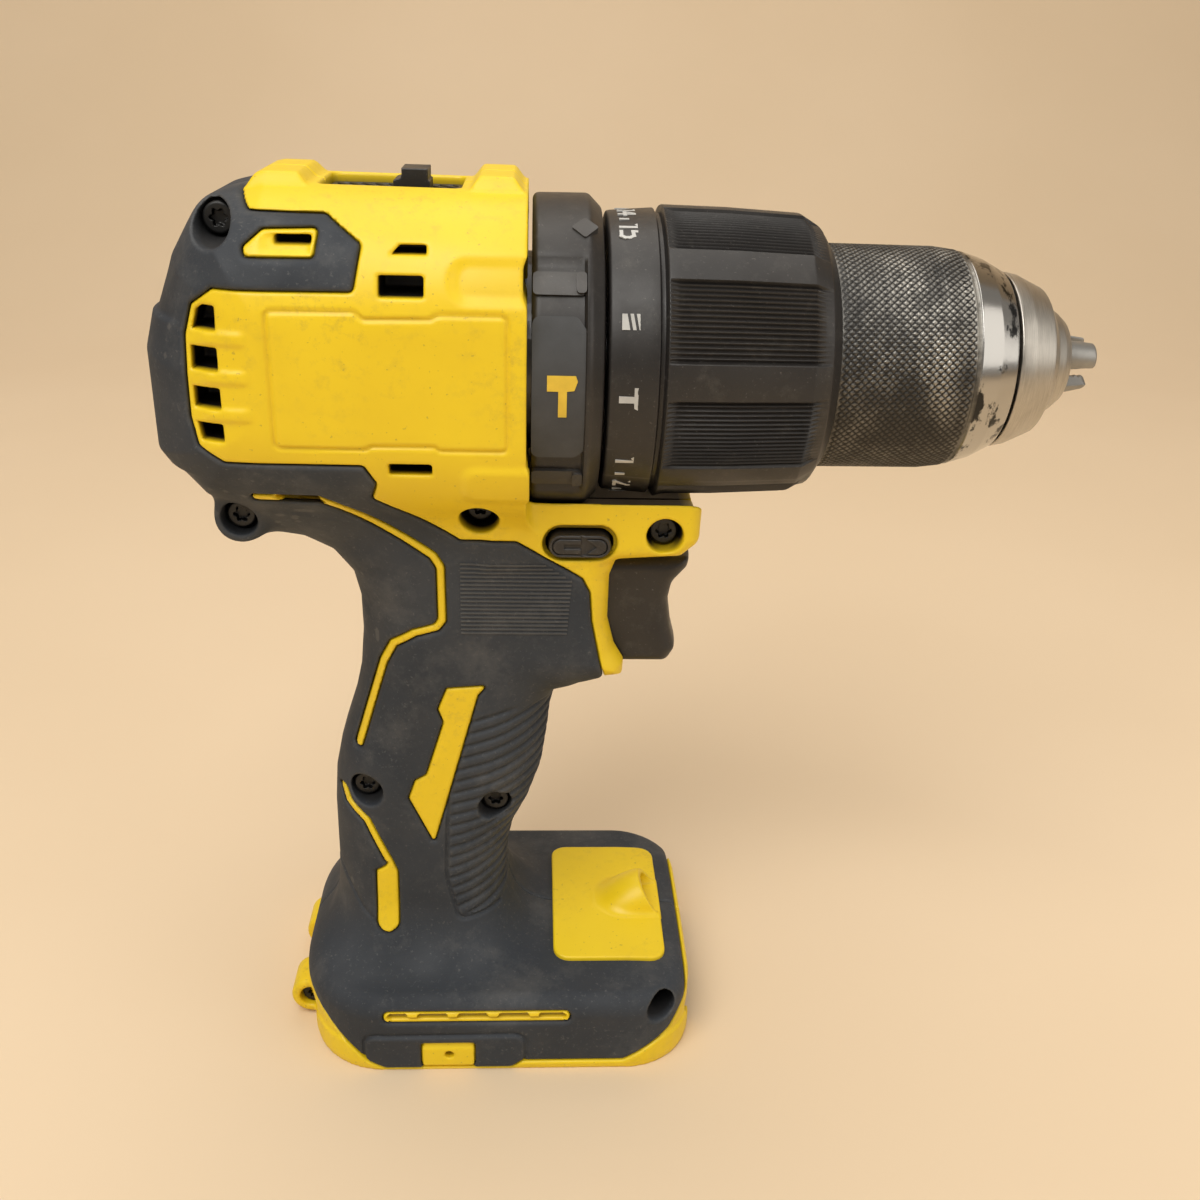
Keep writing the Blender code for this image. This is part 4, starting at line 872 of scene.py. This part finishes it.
def build_clutch(black, mark):
    """Number ring and ridged grip of the torque collar."""
    panel = 2 * math.pi / 8

    def shape(x, r, a):
        grip = (x > 3.6) & (r > 25.0)
        side = np.abs(((a - math.radians(3.0)) / panel + 0.5) % 1.0 - 0.5)
        ribs = 0.5 - 0.5 * np.cos(a * GRIP_RIBS)
        between = ramp(side, 0.148, 0.165)
        inside = between * ramp(-np.abs(x - 17.2), -13.4, -12.8)
        lift = -0.5 * between * ramp(x, 3.9, 4.8) - 0.6 * ribs * inside
        return np.where(grip, lift, 0.0)

    collar = turned("clutch_collar_skin", [
        (-6.5, 20, 0), (-6.5, 26.2, 0.6), (2.3, 26.9, 0.2), (2.5, 25.9, 0.2), (3.3, 25.9, 0.2),
        (3.7, 27.5, 0.5), (16, 27.3, 0), (29.8, 26.6, 1.2), (33.2, 24.6, 1.2), (35.3, 21.4, 0.5),
        (35.3, 20.6, 0), (20, 20.6, 0), (20, 20, 0),
    ], black, "clutch_collar", "black_plastic", columns=8 * GRIP_RIBS, step=1.5, shape=shape)
    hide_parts("clutch_collar")
    shapes = []
    tick = rectangle(-2.0, -0.2, -0.3, 0.3)
    for number in range(1, 16):
        angle = FIRST_NUMBER - (number - 1) * NUMBER_STEP
        shapes += number_shapes(str(number), -2.4, angle, 0.92)
        if number < 15:
            shapes.append((tick, -2.4, math.radians(angle - NUMBER_STEP / 2)))
    shapes.append(([(v * 0.92, -u * 0.92) for u, v in HAMMER], -2.4, math.radians(HAMMER_ANGLE)))
    shapes += [([(v, -u) for u, v in outline], -2.4, math.radians(DRILL_ANGLE)) for outline in DRILL]
    wrapped("clutch_numbers", shapes, 26.5, 0.12, mark, "clutch_collar", "grey_plastic")


# Chuck -----------------------------------------------------------------------------------------

KNURL_STARTS = 92


def knurl(x, r, a):
    """Diamond knurl, worn towards the front, with a groove behind the plain band."""
    outer = r > 18.0
    turn_u = a * KNURL_STARTS
    turn_v = (x - 35.0) * 4.4
    groove = np.minimum(np.cos(turn_u + turn_v), np.cos(turn_u - turn_v))
    patch = ramp(x, 35.4, 35.9) * ramp(60.4 - x, 0, 0.8)
    return np.where(outer, -0.2 * ramp(-groove, -0.1, 1.0) * patch, 0.0)


def build_chuck(sleeve_metal, nose_metal):
    """Knurled sleeve with its plated band, and the stepped nose."""
    sleeve = turned("chuck_sleeve_skin", [
        (34.9, 17.6, 0), (34.9, 20.9, 0.8), (36.3, 21.3, 0.3), (56, 21.2, 4), (60.2, 20.7, 0.3),
        (60.5, 20.2, 0.1), (61, 20.2, 0.1), (61.3, 20.45, 0.2), (65.4, 19.2, 1.5), (69.2, 17.2, 0.4),
        (69.2, 15, 0), (68.2, 15.9, 0), (64, 15.9, 0), (64, 17.6, 0),
    ], sleeve_metal, "chuck_sleeve", "chuck_sleeve", columns=8 * KNURL_STARTS, step=0.26, shape=knurl)
    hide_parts("chuck_sleeve")
    x = np.empty(len(sleeve.data.vertices) * 3)
    sleeve.data.vertices.foreach_get("co", x)
    spots = (x.reshape(-1, 3) - np.array(AXIS)) / MM
    along = spots[:, 0]
    band = ramp(along, 60.9, 61.4)
    float_attribute(sleeve, "chrome", band)
    around = np.arctan2(spots[:, 2], -spots[:, 1])
    worn = ramp(np.sin(around * 2.0 + 0.4) + 0.5 * np.sin(along * 0.5 + around * 3), -0.2, 1.2)
    float_attribute(sleeve, "worn", worn * ramp(along, 36.0, 58.0) * (1 - band))
    float_attribute(sleeve, "peak", ramp(knurl(along, np.full(len(along), 20.0), around), -0.13, -0.03))

    nose = turned("chuck_nose_skin", [
        (38, 8, 0), (69.9, 14, 0), (69.9, 16.9, 0.3), (72.6, 16.4, 0), (77.4, 14.2, 0.8),
        (79.2, 11.3, 0.2), (79.5, 10.7, 0.2), (81.3, 9.6, 0.5), (82.9, 8.2, 0.4), (82.9, 6.9, 0.2),
        (70, 6.9, 0), (38, 6.9, 0),
    ], nose_metal, "spindle", "chuck_steel", columns=256, step=0.6)
    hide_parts("chuck_body")
    nose.data.set_sharp_from_angle(angle=math.radians(24))


def build_jaws(jaw_metal):
    """Three leaning jaws with a flat gripping face and fine teeth."""
    lean = math.radians(13.0)
    for k, degrees in enumerate((30, 150, 270)):
        low, high = barrel_box(f"chuck_jaw_{k + 1}")
        tip = high[0]
        a = math.radians(degrees)
        out = np.array((0.0, -math.cos(a), math.sin(a)))
        side = np.array((0.0, math.sin(a), math.cos(a)))
        axis = np.array((math.cos(lean), 0, 0)) - out * math.sin(lean)
        normal = out * math.cos(lean) + np.array((math.sin(lean), 0, 0))
        anchor = np.array((tip, 0, 0)) + out * 2.2

        def field(p, out=out, side=side, axis=axis, normal=normal, anchor=anchor, tip=tip):
            local = p - anchor
            s, n, t = local @ side, local @ normal, local @ axis
            rod = np.hypot(s, n) - 2.97
            front = p[:, 0] - tip + 0.05
            reach = p @ out
            bite = 2.85 - reach
            wedge = (np.abs(s) - 0.52 - (reach - 2.85) * math.sqrt(3)) / 2
            teeth = 0.12 * np.cos(p[:, 0] * 5.2)
            back = -45.0 - t
            return meet(np.maximum(np.maximum(rod, back), np.maximum(bite + teeth, wedge)), front, 0.8)

        piece = solid(f"jaw_{k + 1}_skin", field, low - 0.5, high + 0.5, jaw_metal,
                      f"chuck_jaw_{k + 1}", "jaw_steel", 0.22)
        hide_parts(f"chuck_jaw_{k + 1}")


# Controls, lamp, screws and small details --------------------------------------------------------

def build_trigger(black):
    outline = Field2D(rounded([
        (-6.4, -39.7, 0), (12.9, -39.7, 0.8), (12.4, -42, 1.5), (9.5, -45.4, 4), (8.8, -49.5, 6),
        (9.7, -56, 6), (10.9, -60.4, 1.8), (9.3, -63.3, 1.8), (-0.2, -63.3, 1), (-6.4, -58, 0),
    ]))

    def field(p):
        x, y, z = p[:, 0], p[:, 1], p[:, 2]
        face = slab(outline(x + 0.012 * y * y, z), y, 8.9, 2.6)
        stem = np.maximum(np.hypot(y, z + 50.0) - 2.2, np.abs(x + 11.5) - 6.0)
        return np.minimum(face, stem)

    low, high = barrel_box("trigger")
    piece = solid("trigger_skin", field, low - 0.5, high + 0.5, black, "trigger", "black_plastic", 0.35)
    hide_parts("trigger")


def build_button(black):
    low, high = barrel_box("direction_button")
    middle = (low + high) / 2
    reach = (high - low) / 2

    def field(p):
        x, y, z = (p - middle).T
        outline = stadium(x, z, reach[0] - reach[2], reach[2])
        button = slab(outline, y, reach[1], 0.7)
        face = np.abs(y) - reach[1] + 0.45
        arrow = np.maximum(np.maximum(-3.0 - x, x - 0.2), np.abs(z) - 0.42)
        head = np.maximum(np.abs(z) * 0.8 + (x - 3.2) * 0.6, 0.2 - x)
        ring = np.abs(outline + 0.75) - 0.14
        return np.maximum(button, -np.maximum(np.minimum(np.minimum(arrow, head), ring), -face))

    piece = solid("direction_button_skin", field, low, high, black,
                  "direction_button", "black_plastic", 0.22)
    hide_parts("direction_button")


def build_selector(black):
    """Stepped speed knob, and the slotted frame it slides in."""
    low, high = barrel_box("speed_selector")
    top = high[2]

    def knob_field(p):
        x, y, z = p.T
        centre_x = (-45.2 - 38.0) / 2
        foot = np.maximum(np.abs(x - centre_x) - 3.5 + 1.4 * ramp(z, 31.0, 31.6), np.abs(y) - 3.9)
        rib = np.maximum(np.maximum(np.abs(x - centre_x - 0.6) - 2.6, np.abs(y) - 3.9), z - top)
        body_part = np.maximum(foot, z - top + 1.3)
        return meet(np.minimum(body_part, rib) + 0.25, 25.0 - z, 0.3)

    knob = solid("speed_knob_skin", knob_field, (-45.2, -4.0, 25.0), (-37.9, 4.0, top), black,
                 "speed_selector", "black_plastic", 0.2)
    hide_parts("speed_selector")
    frame_low, frame_high = barrel_box("selector_frame")

    def frame_field(p):
        x, y, z = p.T
        plate = slab(SELECTOR_WINDOW(x, y) + 0.25, z - 28.3, 0.9, 0.2)
        slot = np.maximum(np.abs(x + 45.5) - 8.1, np.abs(y) - 4.4)
        stripes = repeat(x + y * 0.7, 2.4, 0.0)
        cut = np.maximum(0.7 - stripes, 28.5 - z)
        rim = np.maximum(np.abs(x + 45.0) - 11.2, np.abs(y) - 8.0)
        return np.maximum(np.maximum(plate, -slot), -np.maximum(-cut, rim))

    piece = solid("selector_frame_skin", frame_field, frame_low, frame_high, black,
                  "housing", "black_plastic", 0.25)
    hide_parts("selector_frame")


def build_lamp(yellow, lens):
    """Yellow cover over the foot's front, with the hood of the work light."""
    low, high = barrel_box("led_cover")

    def hood_shell(p):
        x, y, z = p[:, 0], p[:, 1], p[:, 2] - FLOOR
        along = np.clip((x + 4.0) / 15.0, 0, 1)
        half = 7.6 - 1.6 * along
        crown = 21.0 + 6.6 * np.sin(along * 2.0)
        arch = np.hypot(y, np.maximum(z - crown + half, 0)) - half
        return np.maximum(np.maximum(arch, (x - 11.2 + 0.62 * (z - 19.0)) * 0.85), -4.0 - x)

    def field(p):
        x, y, z = p[:, 0], p[:, 1], p[:, 2]
        surface = body(x, y, z)
        cover = slab(COVER_PLAN(x, y), surface - 0.2, 0.8, 0.5)
        hood = np.maximum(hood_shell(p), -surface - 1.2)
        outer = join(cover, hood, 1.6)
        throat = np.hypot(y * 0.8, z - FLOOR - 22.4) - 2.9 - 0.26 * np.maximum(x - 3.6, 0)
        throat = np.maximum(throat, np.maximum(3.4 - x, 0.9 - surface))
        joined = np.maximum(outer, -throat)
        return np.maximum(joined, -surface - 0.6)

    piece = solid("led_cover_skin", field, low - 0.5, high + 0.5, yellow, "housing", "yellow_shell", 0.3)
    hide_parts("led_cover")
    float_attribute(piece, "depth", np.zeros(len(piece.data.vertices)))
    lens_low, lens_high = barrel_box("led_lens")

    def lens_field(p):
        x, y, z = p[:, 0], p[:, 1], p[:, 2]
        dome = (x - 4.9) + 0.12 * (y ** 2 + (z - FLOOR - 22.9) ** 2)
        return np.maximum(np.maximum(np.hypot(y, z - FLOOR - 22.9) - 2.15, dome - 1.2), 3.9 - x)

    piece = solid("led_lens_skin", lens_field, lens_low, lens_high, lens, "housing", "lens", 0.2)
    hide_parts("led_lens")


def torx(u, v, radius):
    """Six-lobed socket: negative inside."""
    a = np.arctan2(v, u)
    return np.hypot(u, v) - radius * (0.84 + 0.16 * np.cos(6 * a))


# Heads nearer the middle than this y stand higher, so that they show in their pockets
DEEP_SEAT_Y = -15.0
DEEP_HEAD_RISE = 2.0


def build_screws(steel):
    """Heads, sockets and shanks at the CAD screws' places."""
    for k in range(8):
        name = f"housing_screw_{k + 1}"
        low, high = barrel_box(name)
        centre = (low + high) / 2
        near = low[1]

        def field(p, centre=centre, near=near):
            u, v, depth = p[:, 0] - centre[0], p[:, 2] - centre[2], p[:, 1] - near
            across = np.hypot(u, v)
            tall = DEEP_HEAD_RISE if near > DEEP_SEAT_Y else 0.0
            head = slab(across - 2.75, depth - 1.05 + tall / 2, 1.05 + tall / 2, 0.45)
            socket = np.maximum(torx(u, v, 1.62), depth - 1.3 + tall)
            shank = np.maximum(across - 1.25, np.abs(depth - 5.0) - 3.5)
            return np.minimum(np.maximum(head, -socket), shank)

        box_low = (centre[0] - 3.0, near - 2.2, centre[2] - 3.0)
        box_high = (centre[0] + 3.0, near + 8.6, centre[2] + 3.0)
        piece = solid(name + "_skin", field, box_low, box_high, steel, "housing", "screw_steel", 0.22)
        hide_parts(name)


def build_grip_ribs(dark):
    """Fine raised lines on the grip's upper sides."""
    points, faces = [], []
    columns = 40
    for side in (-1, 1):
        for k in range(18):
            z = -37.6 - 0.87 * k
            start = -33.4
            end = min(-11.5, -24.4 - 1.55 * (z + 32.7)) - 0.06 * k
            xs = np.linspace(start, end, columns)
            rows = []
            for dz, out in ((-0.26, -0.2), (-0.16, 0.2), (0.16, 0.2), (0.26, -0.2)):
                spots = np.stack([xs, np.full(columns, side * HANDLE_HALF), np.full(columns, z + dz)], 1)
                for _ in range(12):
                    spots[:, 1] -= side * body(spots[:, 0], spots[:, 1], spots[:, 2])
                spots[:, 1] += side * out
                rows.append(spots)
            base = len(points)
            stacked = np.stack(rows, 1).reshape(-1, 3)
            points += stacked.tolist()
            last = base + 4 * (columns - 1)
            faces += [tuple(base + i for i in f) for f in grid_faces(columns, 4)]
            faces += [tuple(base + i for i in range(4)), tuple(last + i for i in reversed(range(4)))]
    piece = mesh_piece("grip_fine_ribs", np.array(points), faces, dark,
                       "housing", "grip_rubber", smooth=False)
    face_outwards(piece)
    float_attribute(piece, "depth", np.zeros(len(points)))


def dress_cad_parts():
    """Procedural finishes for the CAD parts that stay as they are."""
    looks = {
        "black_plastic": ((0.02, 0.02, 0.02), 0.5, 0.0), "grey_plastic": ((0.09, 0.09, 0.09), 0.6, 0.0),
        "chuck_steel": ((0.45, 0.44, 0.42), 0.35, 1.0), "gear_steel": ((0.32, 0.32, 0.33), 0.35, 1.0),
        "bearing_steel": ((0.55, 0.55, 0.56), 0.2, 1.0), "lamination_steel": ((0.25, 0.25, 0.26), 0.5, 1.0),
        "magnet": ((0.12, 0.12, 0.13), 0.4, 1.0), "copper": ((0.72, 0.30, 0.12), 0.35, 1.0),
        "circuit_board": ((0.02, 0.10, 0.05), 0.5, 0.0), "terminal_brass": ((0.70, 0.52, 0.20), 0.3, 1.0),
        "wire_insulation": ((0.25, 0.03, 0.02), 0.5, 0.0),
    }
    made = {key: plain(f"cad_{key}", *value) for key, value in looks.items()}
    for node in frame["nodes"].values():
        for slot in node.material_slots:
            key = slot.material.name.split(".")[0] if slot.material else ""
            if key in made:
                slot.material = made[key]


# Studio ----------------------------------------------------------------------------------------

def build_backdrop():
    """Warm paper swept up behind the tool."""
    paper, tree, shader = new_material("warm_paper", roughness=0.9)
    tone = mix(tree, remap(tree, noise(tree, 3, 3), 0.3, 0.7), (0.80, 0.64, 0.45), (0.76, 0.60, 0.41))
    tree.links.new(tone, shader.inputs["Base Color"])
    sweep = [(-1.2, 0.0)] + [
        (0.55 + 0.5 * math.sin(a), 0.5 - 0.5 * math.cos(a)) for a in np.linspace(0, math.pi / 2, 24)
    ] + [(1.05, 2.4)]
    vertices = [(x, y, z) for x in (-2.5, 2.5) for y, z in sweep]
    count = len(sweep)
    faces = [(i, i + 1, count + i + 1, count + i) for i in range(count - 1)]
    mesh = bpy.data.meshes.new("backdrop")
    mesh.from_pydata(vertices, [], faces)
    mesh.materials.append(paper)
    mesh.shade_smooth()
    backdrop = bpy.data.objects.new("backdrop", mesh)
    bpy.context.scene.collection.objects.link(backdrop)


def build_lights():
    """Three soft boxes and a faint warm surround."""
    def area(name, place, target, size, power, colour):
        light = bpy.data.lights.new(name, "AREA")
        light.size, light.energy, light.color = size, power, colour
        lamp = bpy.data.objects.new(name, light)
        lamp.location = place
        lamp.rotation_euler = (Vector(target) - Vector(place)).to_track_quat("-Z", "Y").to_euler()
        bpy.context.scene.collection.objects.link(lamp)

    area("key_softbox", (-0.30, -0.55, 0.95), (0, 0, 0.08), 0.7, 8.2, (1.0, 0.97, 0.92))
    area("fill_softbox", (0.85, -0.45, 0.55), (0, 0, 0.09), 0.8, 2.6, (1.0, 0.95, 0.88))
    area("top_softbox", (0.0, 0.25, 1.15), (0, 0, 0.05), 0.9, 4.8, (1.0, 0.96, 0.90))
    bpy.context.scene.view_settings.view_transform = "Standard"
    world = bpy.data.worlds.new("studio")
    world.use_nodes = True
    world.node_tree.nodes["Background"].inputs[0].default_value = (1.0, 0.93, 0.84, 1.0)
    world.node_tree.nodes["Background"].inputs[1].default_value = 0.32
    bpy.context.scene.world = world


def build_camera():
    """Camera on the near side, a little above the barrel, looking 25 degrees down."""
    camera = bpy.data.objects.new("camera", bpy.data.cameras.new("camera"))
    camera.data.lens = 37.37
    camera.data.sensor_width = 36.0
    camera.location = (-0.01966, -0.23795, AXIS.z + 0.05829)
    pitch, yaw, roll = math.radians(-25.0), math.radians(3.497), math.radians(1.970)
    turn = Matrix.Rotation(-yaw, 3, "Z") @ Matrix.Rotation(math.pi / 2 + pitch, 3, "X")
    turn = turn @ Matrix.Rotation(roll, 3, "Z")
    camera.rotation_euler = turn.to_euler()
    bpy.context.scene.collection.objects.link(camera)
    bpy.context.scene.camera = camera


yellow_material = yellow_plastic()
rubber_material = rubber()
black_material = black_plastic()
steel_nose = brushed_metal("brushed_steel", (0.56, 0.53, 0.48), 0.33)
build_shell(yellow_material, rubber_material)
build_gearcase(black_material, plain("mode_pad_grey", (0.055, 0.058, 0.062), 0.6), plain(
    "hammer_yellow", (0.80, 0.54, 0.05), 0.5))
build_clutch(black_material, plain("number_paint", (0.55, 0.55, 0.53), 0.5))
build_chuck(knurled_metal(), steel_nose)
build_jaws(plain("jaw_grey", (0.34, 0.335, 0.32), 0.45, 0.85))
build_trigger(black_material)
build_button(black_material)
build_selector(black_material)
build_lamp(yellow_material, plain("lamp_lens", (0.86, 0.88, 0.90), 0.15))
build_screws(plain("screw_black", (0.05, 0.05, 0.05), 0.4, 0.9))
build_grip_ribs(rubber_material)
dress_cad_parts()
build_backdrop()
build_lights()
build_camera()
